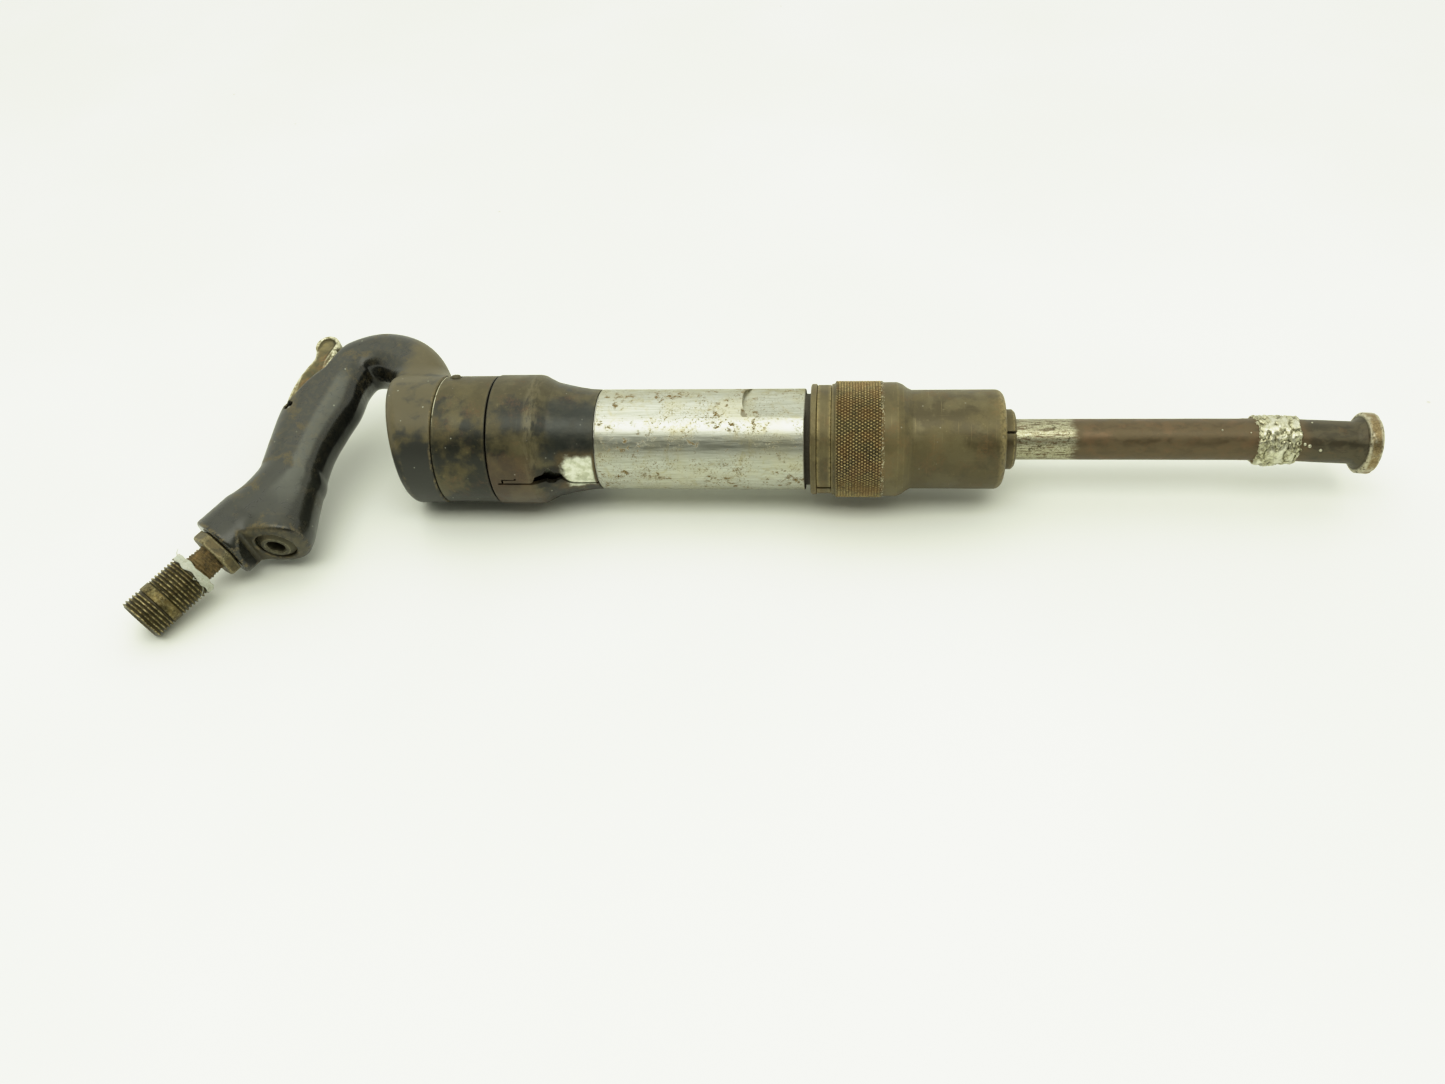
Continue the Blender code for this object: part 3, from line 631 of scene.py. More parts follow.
# ------------------------------------------------------------------ materials
def oxide(name, dark, mid, light, rust, *, rust_amount, rough, metal, wear_color, wear_gain,
          around=0.0, along=0.0, specks=0.0, patch=None, painted_low_shade=0.0):
    """Oxidised steel: brown and grey patches, mottling, scratches, rust, worn edges.

    around and along weigh the scratches round and along the piece; patch adds local coats
    and returns a mask of bare metal. The lower side can be painted darker as shade, and
    hollows get painted shade.
    """
    mat = Material(name, dark)
    broad = mat.noise(0.048, detail=3, rough=0.5)
    medium = mat.noise(0.22, detail=6, rough=0.62)
    fine = mat.noise(1.6, detail=5, rough=0.65)
    _, y, z = mat.xyz()
    # painted shade: a tilt term makes the tone darker towards the lower side, lighter towards the
    # top
    side = z * 0.0022 + y * 0.0018
    tone = broad * 0.72 + medium * 0.28 + (side - 0.05) * painted_low_shade
    mat.coat(tone.ramp(0.40, 0.55), mid)
    mat.coat(mat.noise(0.08, rough=0.55).ramp(0.48, 0.66) * 0.6, light)
    rusted = (mat.noise(0.085, detail=6, rough=0.65, dist=0.2).ramp(0.5, 0.66)
              * mat.noise(0.9, detail=5, rough=0.7).ramp(0.36, 0.62) * rust_amount)
    mat.coat(rusted, rust)
    mat.coat(fine.ramp(0.5, 0.75) * 0.25, scaled(dark, 0.5))
    round_lines = mat.noise(1.0, detail=3, rough=0.5, stretch=(3.2, 0.05, 0.05))
    round_lines = round_lines.ramp(0.66, 0.76)
    long_lines = mat.noise(1.0, detail=3, rough=0.5, stretch=(0.05, 2.4, 2.4), dist=0.3)
    long_lines = long_lines.ramp(0.68, 0.78)
    scratches = mat.math("ADD", round_lines * around, long_lines * along, clamp=True)
    mat.coat(scratches * 0.5, wear_color)
    nicks = mat.noise(0.55).ramp(0.60, 0.68) * medium.ramp(0.5, 0.6) * 0.35
    mat.coat(nicks, scaled(light, 1.5))
    if specks:
        mat.coat(mat.dots(0.17).ramp(0.085, 0.03) * specks, (0.62, 0.62, 0.52))
    edge = mat.wear * mat.noise(0.7).ramp(0.3, 0.6) * wear_gain
    mat.coat(edge, wear_color)
    # painted shade in hollows: concave places darkened
    mat.coat(mat.cav * 0.6, scaled(dark, 0.35))
    rough_coats = [(tone.ramp(0.35, 0.62), rough[1]), (rusted, 0.82), (edge, 0.32)]
    metal_coats = [(rusted, 0.05), (edge, 0.9)]
    if patch:
        bare = patch(mat)
        rough_coats.append((bare, 0.33))
        metal_coats.append((bare, 0.95))
    mat.bump(fine * 0.35 + mat.noise(5.0, detail=3) * 0.25, strength=0.35, depth=0.12)
    mat.bump(mat.noise(0.35, rough=0.55), strength=0.25, depth=0.35)
    mat.bump(scratches, strength=0.25, depth=-0.04)
    return mat.finish(rough=mat.layers(rough[0], *rough_coats),
                      metal=mat.layers(metal, *metal_coats))


def rear_seam_shade(mat):
    """Painted shade in the joint between clamp sleeve and deflector."""
    gap = abs(mat.xyz()[0] - 0.05)
    # painted shade: a dark band over the joint
    mat.coat(gap.ramp(1.1, 0.45) * 0.9, rgb(14, 12, 9))


def sleeve_seams(mat):
    """Both joints of the clamp sleeve; the upper side of the rear one is worn bright and carries a
    painted highlight, its lower side painted shade.
    """
    rear_x = -25.95
    rear_seam_shade(mat)
    x, y, z = mat.xyz()
    gap = x - rear_x
    rise = y * 0.9 + z * 0.45
    # bright line on the upper side of the rear joint: worn edge and painted highlight
    line = gap.ramp(0.85, 0.6) * rise.ramp(-3.0, 13.0) * mat.noise(0.4).ramp(0.34, 0.50)
    # painted shade on the lower side of the rear joint
    low = gap.ramp(0.5, 0.3) * rise.ramp(12.0, -2.0)
    mat.coat(low * 0.7, rgb(22, 19, 14))
    mat.coat(line * 0.95, rgb(204, 200, 174))
    return line * 0.8


def knurl_rust_and_nose_shade(mat):
    """More orange rust on the knurled band than on the smooth nose; the lower side of the nose is
    painted darker as shade.
    """
    x, _, z = mat.xyz()
    band = (x.ramp(160.0, 162.0) * x.ramp(183.5, 181.5)
            * mat.noise(0.12, detail=5).ramp(0.38, 0.6))
    mat.coat(band * 0.32, rgb(130, 88, 42))
    rim = (x.ramp(180.6, 181.4) * x.ramp(183.0, 182.5)
           * mat.noise(0.9, detail=5, rough=0.7).ramp(0.54, 0.6))
    mat.coat(rim, rgb(196, 190, 160))
    # painted shade: the nose darker on its lower side
    mat.coat(x.ramp(192.0, 197.0) * z.ramp(22.0, 8.0) * 0.35, rgb(58, 50, 32))
    return rim * 0.5


def outlet_patch(mat):
    """Bare metal worn through beside the exhaust outlet of the deflector."""
    rear_seam_shade(mat)
    x, y, z = mat.xyz()
    # lighter band on the upper side of the shoulder: wear and a painted highlight
    shoulder = (x.ramp(16.5, 19.0) * x.ramp(25.5, 22.5) * z.ramp(-6.0, 6.0)
                * mat.noise(0.35, detail=5, rough=0.65, stretch=(1.6, 0.5, 0.5)).ramp(0.42, 0.6))
    mat.coat(shoulder * 0.4, rgb(114, 106, 80))
    # place round and along the piece, with ragged borders
    angle = mat.math("ARCTAN2", y, z) * (180 / math.pi)
    angle = angle + (mat.noise(0.22, detail=5, rough=0.62, dist=0.5) - 0.5) * 13.0
    along = x + (mat.noise(0.3, detail=5, rough=0.65, dist=0.5) - 0.5) * 5.0
    left = (along + abs(angle + 74.0) * -0.10).ramp(32.4, 35.6)
    bare = (angle.ramp(-54.0, -61.0) * angle.ramp(-101.0, -97.0) * left * x.ramp(48.6, 47.6)
            * mat.noise(0.9, detail=5, rough=0.7).ramp(0.24, 0.40))
    cold = along.ramp(24.0, 31.0) * angle.ramp(14.0, -4.0) * angle.ramp(-64.0, -54.0)
    mat.coat(cold * 0.8, mat.mix(mat.noise(0.6, stretch=(0.4, 1, 1)),
                                 rgb(30, 33, 31), rgb(52, 55, 50)))
    mat.coat(along.ramp(24.0, 18.0) * angle.ramp(-48.0, -58.0) * 0.45, rgb(92, 72, 50))
    halo = angle.ramp(-46.0, -58.0) * angle.ramp(-106.0, -100.0) * along.ramp(29.5, 34.0)
    mat.coat(halo * 0.75, mat.mix(mat.noise(0.5), rgb(62, 50, 30), rgb(104, 86, 52)))
    mat.coat(bare, mat.mix(mat.noise(0.35, detail=5).ramp(0.35, 0.6),
                           rgb(188, 190, 168), rgb(224, 226, 208)))
    soot = (along.ramp(19.0, 24.0) * along.ramp(36.5, 32.0)
            * angle.ramp(-62.0, -70.0) * angle.ramp(-92.0, -86.0))
    mat.coat(soot * 0.85, rgb(20, 18, 14))
    return bare


def painted(name):
    """Black enamel: glossy below, brown film on top, chipped at the edges; a painted highlight
    along the grip, painted shade on the lower side of the head and in hollows.
    """
    mat = Material(name, rgb(21, 22, 20))
    broad = mat.noise(0.05, detail=5, dist=0.7)
    medium = mat.noise(0.19, detail=6, rough=0.62, dist=0.6)
    fine = mat.noise(1.4, detail=5, rough=0.65)
    mat.coat(broad.ramp(0.38, 0.62), rgb(31, 32, 28))
    upward = mat.facing()[2].max(0.0)
    film = upward.ramp(0.45, 0.88) * mat.layers(0.45, (medium.ramp(0.30, 0.6), 1.0))
    mat.coat(film * 0.42, rgb(60, 60, 46))
    brown = (mat.noise(0.075, detail=6, rough=0.62, dist=0.4).ramp(0.55, 0.64)
             * fine.ramp(0.34, 0.56) * mat.layers(0.2, (upward.ramp(0.45, 0.7), 0.85)))
    mat.coat(brown * 0.8, mat.mix(mat.noise(0.5), rgb(82, 66, 36), rgb(104, 94, 54)))
    # browner head, painted darker on its lower side as shade, and the flat beside the throttle cap
    x, y, z = mat.xyz()
    head = (x + (medium - 0.5) * 14.0).ramp(-56.0, -47.0)
    side = z * 0.0026 + y * 0.0022
    patch = mat.noise(0.05, detail=3, rough=0.5) * 0.72 + medium * 0.28
    patch = (patch + side * 1.6).ramp(0.49, 0.64)
    mat.coat(head * 0.92, mat.mix(patch, rgb(33, 34, 28), rgb(86, 77, 48)))
    facet = y.ramp(-60.5, -62.6) * x.ramp(-113.5, -111.5) * y.ramp(-66.0, -64.5)
    mat.coat(facet * 0.75, mat.mix(medium.ramp(0.4, 0.6), rgb(52, 48, 33), rgb(80, 73, 50)))
    # painted highlight: a light stripe where the flat of the grip turns into its inner side
    turn = mat.facing()[0]
    painted_highlight_stripe = (turn.ramp(0.07, 0.19) * turn.ramp(0.60, 0.44) * upward.ramp(0.56, 0.74)
              * y.ramp(-54.0, -30.0) * y.ramp(38.0, 26.0) * x.ramp(-78.0, -84.0))
    mat.coat(painted_highlight_stripe * mat.layers(0.3, (medium, 0.62)), rgb(104, 106, 98))
    chips = mat.wear * mat.noise(0.4, detail=5, rough=0.65).ramp(0.45, 0.62)
    mat.coat(chips * 0.55, mat.mix(mat.noise(1.1, detail=3),
                                   rgb(120, 100, 66), rgb(158, 148, 118)))
    mat.coat(mat.dots(0.14).ramp(0.07, 0.03) * 0.7, rgb(176, 178, 160))
    # painted shade in hollows
    mat.coat(mat.cav * 0.35, rgb(18, 18, 15))
    mat.bump(mat.noise(0.16, detail=3, rough=0.5), strength=0.16, depth=0.5)
    mat.bump(fine * 0.5 + brown * 0.6, strength=0.13, depth=0.08)
    mat.bump(chips, strength=0.25, depth=-0.08)
    return mat.finish(
        rough=mat.layers(0.16, (broad.ramp(0.35, 0.65), 0.21), (film * 0.7, 0.4),
                         (brown, 0.62), (head.max(facet), 0.48), (chips, 0.45)),
        metal=chips * 0.7)


def bright_barrel(name):
    """Ground steel with stains, rust pits, a matt lip, and painted shade on the nose under the
    retainer.
    """
    mat = Material(name, rgb(170, 171, 158))
    medium = mat.noise(0.2, detail=6, rough=0.65, stretch=(0.7, 1, 1), dist=0.5)
    fine = mat.noise(2.2)
    grind = mat.noise(1.0, rough=0.55, stretch=(0.09, 1.6, 1.6))
    rings = mat.noise(1.0, detail=3, rough=0.5, stretch=(2.6, 0.03, 0.03))
    mat.coat(grind.ramp(0.3, 0.7), rgb(194, 196, 184))
    mat.coat(mat.noise(0.055, detail=5).ramp(0.45, 0.65) * 0.5, rgb(184, 180, 152))
    rusty_area = mat.noise(0.085, dist=0.4).ramp(0.5, 0.62)
    rust = mat.noise(0.42, detail=7, rough=0.76, stretch=(0.8, 1, 1), dist=0.3)
    rust = rust.ramp(0.515, 0.575) * rusty_area
    pits = (mat.noise(1.1, detail=6, rough=0.78).ramp(0.55, 0.60)
            * mat.noise(0.10).ramp(0.43, 0.54))
    top = (mat.xyz()[1] * 0.9 + mat.xyz()[2] * 0.45).ramp(17.0, 23.0)
    rust = mat.math("ADD", rust, pits * 0.8, clamp=True)
    stain = mat.noise(0.16, detail=6, rough=0.66, dist=0.8).ramp(0.52, 0.68) * 0.4
    mat.coat(stain, rgb(168, 158, 118))
    mat.coat(top * medium.ramp(0.3, 0.6) * 0.6, rgb(150, 142, 100))
    mat.coat(rust, mat.mix(fine.ramp(0.4, 0.6), rgb(84, 66, 34), rgb(134, 112, 62)))
    # matt lip at the rear edge of the flats, and painted shade on the nose in the gap under the
    # retainer
    x, y, z = mat.xyz()
    flat_y, flat_z = polar(1, FLAT_ANGLE)
    height = abs(y * flat_y + z * flat_z)
    lip = (height.ramp(23.0, 22.0) * height.ramp(20.67, 20.74) * x.ramp(117.3, 117.8)
           * x.ramp(127.0, 123.0) * mat.noise(0.5).ramp(0.38, 0.52) * 0.6)
    # painted shade: the nose in the gap under the retainer darkened
    nose = x.ramp(146.0, 146.7)
    dull_lip_and_nose_shade = lip.max(nose * 0.95)
    mat.coat(dull_lip_and_nose_shade, mat.mix(nose, rgb(86, 70, 38), rgb(44, 36, 22)))
    mat.bump(grind, strength=0.10, depth=0.05)
    mat.bump(rings, strength=0.06, depth=0.04)
    mat.bump(rust, strength=0.4, depth=-0.09)
    return mat.finish(
        rough=mat.layers(0.34, (grind.ramp(0.3, 0.7), 0.42), (rust.max(dull_lip_and_nose_shade), 0.8),
                         (stain, 0.5)),
        metal=mat.layers(1.0, (rust.max(dull_lip_and_nose_shade), 0.1)))


def tool_metal(name):
    """Brown scale, a bright scuffed band near the sleeve and a worn rim on the flange."""
    mat = Material(name, rgb(84, 71, 49))
    x = mat.xyz()[0]
    medium = mat.noise(0.3, detail=6, rough=0.62, stretch=(0.5, 1, 1), dist=0.5)
    fine = mat.noise(2.0, detail=5, rough=0.65)
    streak = mat.noise(1.0, detail=5, stretch=(0.16, 1.5, 1.5), dist=0.2)
    mat.coat(medium.ramp(0.36, 0.62), rgb(98, 84, 60))
    mat.coat(mat.noise(0.12, detail=5).ramp(0.48, 0.66) * 0.6, rgb(110, 86, 60))
    mat.coat(x.ramp(366.0, 373.0) * 0.8,
             mat.mix(medium.ramp(0.4, 0.6), rgb(56, 53, 40), rgb(80, 75, 58)))
    # bright band
    ragged_x = x + (mat.noise(0.3, rough=0.7, stretch=(0.4, 1, 1)) - 0.5) * 9.0
    band = ragged_x.ramp(271.0, 266.0) * x.ramp(240.0, 241.5)
    scuff = mat.noise(0.8, detail=5, rough=0.7, stretch=(0.7, 1, 1), dist=0.8)
    bare = band * (streak * 0.62 + scuff * 0.38).ramp(0.40, 0.53)
    mat.coat(bare, mat.mix(fine.ramp(0.35, 0.65), rgb(146, 142, 112), rgb(190, 188, 164)))
    pocks = band * mat.noise(0.5, detail=5, rough=0.7).ramp(0.57, 0.63)
    mat.coat(pocks * 0.8, rgb(70, 62, 42))
    shank = x.ramp(243.5, 240.0)
    mat.coat(shank, mat.mix(fine, rgb(120, 116, 104), rgb(150, 146, 132)))
    # flange rim and the middle of its edge
    rim = (mat.wear * x.ramp(390.0, 393.0)
           * mat.noise(0.6, detail=5, rough=0.65).ramp(0.33, 0.52))
    mat.coat(rim, mat.mix(mat.noise(0.5, rough=0.7), rgb(168, 154, 116), rgb(230, 227, 206)))
    middle = x.ramp(395.0, 396.2) * x.ramp(399.9, 398.7) * mat.noise(0.3).ramp(0.30, 0.5)
    mat.coat(middle * 0.85, mat.mix(fine.ramp(0.4, 0.6), rgb(104, 84, 50), rgb(146, 126, 84)))
    rust = (mat.noise(0.2, detail=6, rough=0.7, dist=1.0).ramp(0.55, 0.66)
            * fine.ramp(0.4, 0.6))
    mat.coat(rust * 0.35, rgb(116, 84, 48))
    shiny = bare.max(shank).max(rim)
    mat.bump(fine * 0.5 + streak * 0.3, strength=0.3, depth=0.1)
    mat.bump(mat.noise(0.5), strength=0.2, depth=0.3)
    return mat.finish(
        rough=mat.layers(0.4, (medium.ramp(0.35, 0.65), 0.58),
                         (shiny, mat.layers(0.3, (band, 0.4)))),
        metal=mat.layers(0.45, (shiny, 0.95)))


def weld_metal(name):
    mat = Material(name, rgb(122, 115, 86))
    fine = mat.noise(1.8, detail=5, rough=0.68, dist=0.6)
    medium = mat.noise(0.55, detail=6, rough=0.7, dist=1.2)
    mat.coat(medium.ramp(0.36, 0.58), rgb(198, 196, 166))
    pits = mat.noise(0.8, detail=5, rough=0.72, dist=1.5).ramp(0.57, 0.65)
    # pits, and painted shade in the hollows of the bead
    mat.coat((pits * 0.65).max(mat.cav * 0.95), rgb(50, 44, 29))
    mat.coat(mat.wear * 0.5, rgb(236, 236, 218))
    mat.bump(medium, strength=0.3, depth=0.4)
    mat.bump(fine, strength=0.25, depth=0.12)
    return mat.finish(rough=mat.layers(0.34, (pits, 0.7)), metal=mat.layers(0.9, (pits, 0.3)))


def brass(name):
    mat = Material(name, rgb(58, 51, 30))
    fine = mat.noise(1.6, detail=5, rough=0.65)
    medium = mat.noise(0.35, detail=5, dist=0.6)
    mat.coat(medium.ramp(0.36, 0.62), rgb(96, 84, 50))
    mat.coat(mat.noise(0.2, detail=5).ramp(0.5, 0.64) * 0.6, rgb(104, 98, 66))
    mat.coat(mat.wear * mat.noise(0.8, detail=5, rough=0.7).ramp(0.44, 0.62) * 0.8,
             rgb(206, 192, 140))
    # painted shade in thread roots and hollows
    mat.coat(mat.cav * 0.8, rgb(48, 40, 22))
    mat.bump(fine + mat.noise(0.6), strength=0.35, depth=0.1)
    return mat.finish(rough=mat.layers(0.34, (medium.ramp(0.35, 0.65), 0.5)),
                      metal=mat.layers(0.85, (mat.cav, 0.3)))


def rusty(name):
    mat = Material(name, rgb(70, 58, 34))
    fine = mat.noise(1.9, detail=6, rough=0.7)
    medium = mat.noise(0.45, detail=6, rough=0.65, dist=0.8)
    mat.coat(medium.ramp(0.36, 0.6), rgb(114, 95, 58))
    mat.coat(mat.noise(0.3, detail=5, rough=0.7, dist=0.6).ramp(0.52, 0.62) * 0.75,
             rgb(138, 112, 70))
    pits = mat.noise(0.9, detail=5, rough=0.7, dist=0.7).ramp(0.58, 0.66)
    mat.coat(pits * 0.8, rgb(44, 32, 18))
    mat.coat(mat.wear * 0.5, rgb(150, 138, 104))
    mat.bump(pits * -0.8 + fine, strength=0.5, depth=0.22)
    return mat.finish(rough=0.72, metal=mat.layers(0.35, (pits, 0.1)))


def bushing_iron(name):
    mat = Material(name, rgb(62, 57, 38))
    fine = mat.noise(1.7, detail=5, rough=0.66)
    medium = mat.noise(0.3, detail=6, rough=0.65, dist=0.7)
    mat.coat(medium.ramp(0.36, 0.6), rgb(98, 86, 56))
    mat.coat(mat.wear * fine.ramp(0.35, 0.6) * 0.75, rgb(158, 148, 112))
    # painted shade in hollows
    mat.coat(mat.cav * 0.7, rgb(34, 26, 16))
    mat.bump(fine + medium, strength=0.4, depth=0.16)
    return mat.finish(rough=mat.layers(0.42, (medium, 0.62)), metal=0.45)


def tape_film(name):
    mat = Material(name, rgb(158, 158, 140))
    fine = mat.noise(1.5, detail=5, stretch=(0.4, 1, 1))
    dirt = mat.noise(0.5, detail=5, rough=0.7, dist=1.0).ramp(0.52, 0.7)
    mat.coat(fine, rgb(200, 201, 184))
    mat.coat(dirt * 0.6, rgb(128, 118, 84))
    mat.bump(fine, strength=0.5, depth=0.2)
    return mat.finish(rough=0.5, metal=0.0, extra={"Subsurface Weight": 0.08})


def machined(name, color, rough=0.32, metal=1.0, stain=(0.2, 0.16, 0.1)):
    """For small pieces and those kept from the CAD model."""
    mat = Material(name, scaled(color, 0.82), object_space=True)
    rings = mat.noise(1.0, detail=3, rough=0.5, stretch=(2.5, 0.06, 0.06))
    medium = mat.noise(0.3, detail=5, rough=0.62, dist=0.5)
    mat.coat(rings.ramp(0.3, 0.7), color)
    mat.coat(medium.ramp(0.5, 0.7) * 0.5, stain)
    mat.bump(rings, strength=0.2, depth=0.04)
    return mat.finish(rough=mat.layers(rough * 0.8, (medium, rough * 1.4)), metal=metal)


def bench_white(name):
    mat = Material(name, rgb(238, 241, 230), object_space=True)
    mat.coat(mat.noise(0.004, detail=3, rough=0.5).ramp(0.35, 0.7), rgb(244, 246, 238))
    mat.seed += 2 * mat.SEED_STEP    # sets where the crumbs fall
    mat.coat(mat.dots(0.018).ramp(0.022, 0.012) * 0.45, rgb(176, 168, 138))
    mat.bump(mat.noise(0.4, detail=3, rough=0.5), strength=0.03, depth=0.2)
    return mat.finish(rough=0.42, metal=0.0, extra={"Specular IOR Level": 0.35})


PAINT = painted("black_enamel_worn")
SLEEVE = oxide("oxide_clamp_sleeve",
               dark=rgb(35, 36, 29), mid=rgb(78, 70, 44), light=rgb(98, 89, 58),
               rust=rgb(108, 72, 44), rust_amount=0.3, rough=(0.36, 0.54), metal=0.4,
               around=0.3, along=0.4, wear_color=rgb(150, 142, 110), wear_gain=0.3,
               specks=0.7, patch=sleeve_seams, painted_low_shade=1.6)
DEFLECTOR = oxide("oxide_deflector",
                  dark=rgb(36, 37, 31), mid=rgb(74, 67, 44), light=rgb(98, 90, 62),
                  rust=rgb(108, 74, 44), rust_amount=0.35, rough=(0.32, 0.50), metal=0.4,
                  around=0.2, along=0.7, wear_color=rgb(150, 144, 112), wear_gain=0.35,
                  specks=0.5, patch=outlet_patch, painted_low_shade=1.5)
RETAINER = oxide("oxide_retainer",
                 dark=rgb(76, 67, 42), mid=rgb(96, 86, 55), light=rgb(110, 101, 70),
                 rust=rgb(128, 92, 50), rust_amount=0.3, rough=(0.38, 0.56), metal=0.4,
                 around=0.45, along=0.15, wear_color=rgb(206, 186, 130), wear_gain=0.9,
                 specks=0.25, patch=knurl_rust_and_nose_shade)
LEVER = oxide("oxide_lever",
              dark=rgb(74, 70, 46), mid=rgb(118, 106, 68), light=rgb(140, 128, 88),
              rust=rgb(150, 104, 54), rust_amount=0.6, rough=(0.36, 0.55), metal=0.5,
              along=0.3, wear_color=rgb(214, 210, 180), wear_gain=0.95)
CAP = oxide("oxide_cap",
            dark=rgb(40, 38, 28), mid=rgb(62, 58, 42), light=rgb(84, 79, 58),
            rust=rgb(92, 66, 38), rust_amount=0.4, rough=(0.36, 0.55), metal=0.5,
            around=0.4, wear_color=rgb(176, 170, 138), wear_gain=0.8)
BRIGHT = bright_barrel("ground_steel_barrel")
TOOL = tool_metal("tool_scale_and_bright")
WELD = weld_metal("weld_metal")
BRASS = brass("brass_tarnished")
RUST = rusty("pipe_rust")
BUSHING = bushing_iron("bushing_iron")
TAPE = tape_film("thread_film")
STEEL = machined("steel_machined", rgb(168, 166, 158))
COPPER = machined("gasket_copper", rgb(184, 118, 84), rough=0.4)
RUBBER = machined("bumper_rubber", rgb(28, 28, 27), rough=0.7, metal=0.0,
                  stain=(0.03, 0.03, 0.028))
SCREEN = machined("screen_brass", rgb(150, 128, 78), rough=0.4)

# CAD pieces that stay as they are
for material, kept in (
    (COPPER, "cap_gasket valve_gasket"),
    (RUBBER, "retainer_bumper"),
    (SCREEN, "inlet_screen"),
    (STEEL, "deflector_snap_ring lock_button_spring piston shank_bushing throttle_pin "
            "throttle_seat throttle_spring throttle_valve valve_chest valve_cover "
            "valve_dowel_1 valve_dowel_2 valve_spool"),
):
    for piece in kept.split():
        slots = frame["nodes"][piece].data.materials
        slots.clear()
        slots.append(material)

# ------------------------------------------------------------------ handle casting
# centre line of the neck and grip: x, y, half width in the handle plane, half depth in z
NECK = [
    (-39.5, 14.0, 11.0, 14.0), (-43.4, 27.4, 14.0, 15.0), (-50.0, 39.0, 15.0, 15.8),
    (-59.2, 46.9, 14.8, 15.4), (-71.0, 50.4, 14.0, 14.6), (-82.2, 47.2, 13.6, 14.1),
    (-90.5, 37.0, 16.6, 14.0), (-95.8, 22.5, 20.2, 14.0), (-98.8, 8.0, 19.2, 13.8),
    (-100.6, -8.0, 17.4, 13.6), (-100.8, -24.0, 17.0, 13.6), (-99.8, -40.0, 16.8, 13.8),
    (-98.2, -54.0, 15.7, 13.8), (-98.0, -60.5, 14.4, 13.2),
]
PATH = curve(NECK, 10)
TANGENT = np.gradient(PATH[:, :2], axis=0)
TANGENT /= np.linalg.norm(TANGENT, axis=1, keepdims=True)
# lever slot and the wider cut away above it: x, y
UPPER_EDGE = [(-91.6, 48.0), (-89.6, 55.0), (-88.6, 66.0), (-127.0, 66.0)]
SLOT = [(-94.5, 10.0), (-94.5, 19.5), (-99.8, 24.0), (-98.0, 32.0), (-94.8, 40.0),
        *UPPER_EDGE, (-127.0, 20.0), (-117.5, 7.0), (-104.5, 7.0), (-103.0, 10.0)]
SLOT_HALF = 5.4
CHEEK = [(-127.0, 10.5), (-118.5, 10.5), (-114.8, 12.8), (-111.8, 15.8), (-109.4, 18.2),
         (-107.5, 21.0), (-105.4, 24.6), (-103.0, 28.4), (-100.0, 32.2), (-96.2, 36.2),
         (-94.4, 41.0), *UPPER_EDGE]
# stepped bores: radius, from, to
THROTTLE_BORES = [(9.6, -70.0, -53.4), (8.0, -60.0, -24.0), (4.2, -30.0, -6.0),
                  (2.9, -10.0, 17.0)]       # along y
INLET_BORES = [(9.9, -20.0, 3.0), (5.0, -47.0, -10.0)]     # along the inlet


def near_path(x, y):
    """Offset from the centre line, half width and depth there, and distance past its ends."""
    spots = np.stack([np.ravel(x), np.ravel(y)], 1)
    best = np.empty(len(spots), np.int64)
    for i in range(0, len(spots), 20000):
        gaps = spots[i:i + 20000, None] - PATH[None, :, :2]
        best[i:i + 20000] = (gaps ** 2).sum(2).argmin(1)
    away = spots - PATH[best, :2]
    tangent = TANGENT[best]
    along = (away * tangent).sum(1)
    offset = away[:, 1] * tangent[:, 0] - away[:, 0] * tangent[:, 1]
    last = len(PATH) - 1
    other = np.clip(best + np.where(along > 0, 1, -1), 0, last)
    gap = np.abs(((PATH[other, :2] - PATH[best, :2]) * tangent).sum(1))
    part = np.clip(np.abs(along) / np.maximum(gap, 1e-6), 0, 1)
    width, depth = (PATH[best, k] * (1 - part) + PATH[other, k] * part for k in (2, 3))
    beyond = np.where((best == last) & (along > 0), along, 0.0)
    beyond = np.where((best == 0) & (along < 0), -along, beyond)
    return np.reshape((offset, width, depth, beyond), (4, *np.shape(x)))


def inlet_frame(x, y):
    """Place along and across the inlet axis."""
    dx, dy = x - INLET[0], y - INLET[1]
    return (dx * INLET_DIR[0] + dy * INLET_DIR[1], dx * INLET_SIDE[0] + dy * INLET_SIDE[1])


def round_box(along, radius, start, end, size, rounding):
    """Turned shape with rounded rims."""
    past_end = np.abs(along - (start + end) / 2) - (end - start) / 2 + rounding
    past_side = radius - size + rounding
    corner = np.hypot(np.maximum(past_end, 0), np.maximum(past_side, 0))
    return np.minimum(np.maximum(past_end, past_side), 0) + corner - rounding


def cylinder(radius, size, along, start, end):
    return np.maximum(radius - size, np.maximum(along - end, start - along))


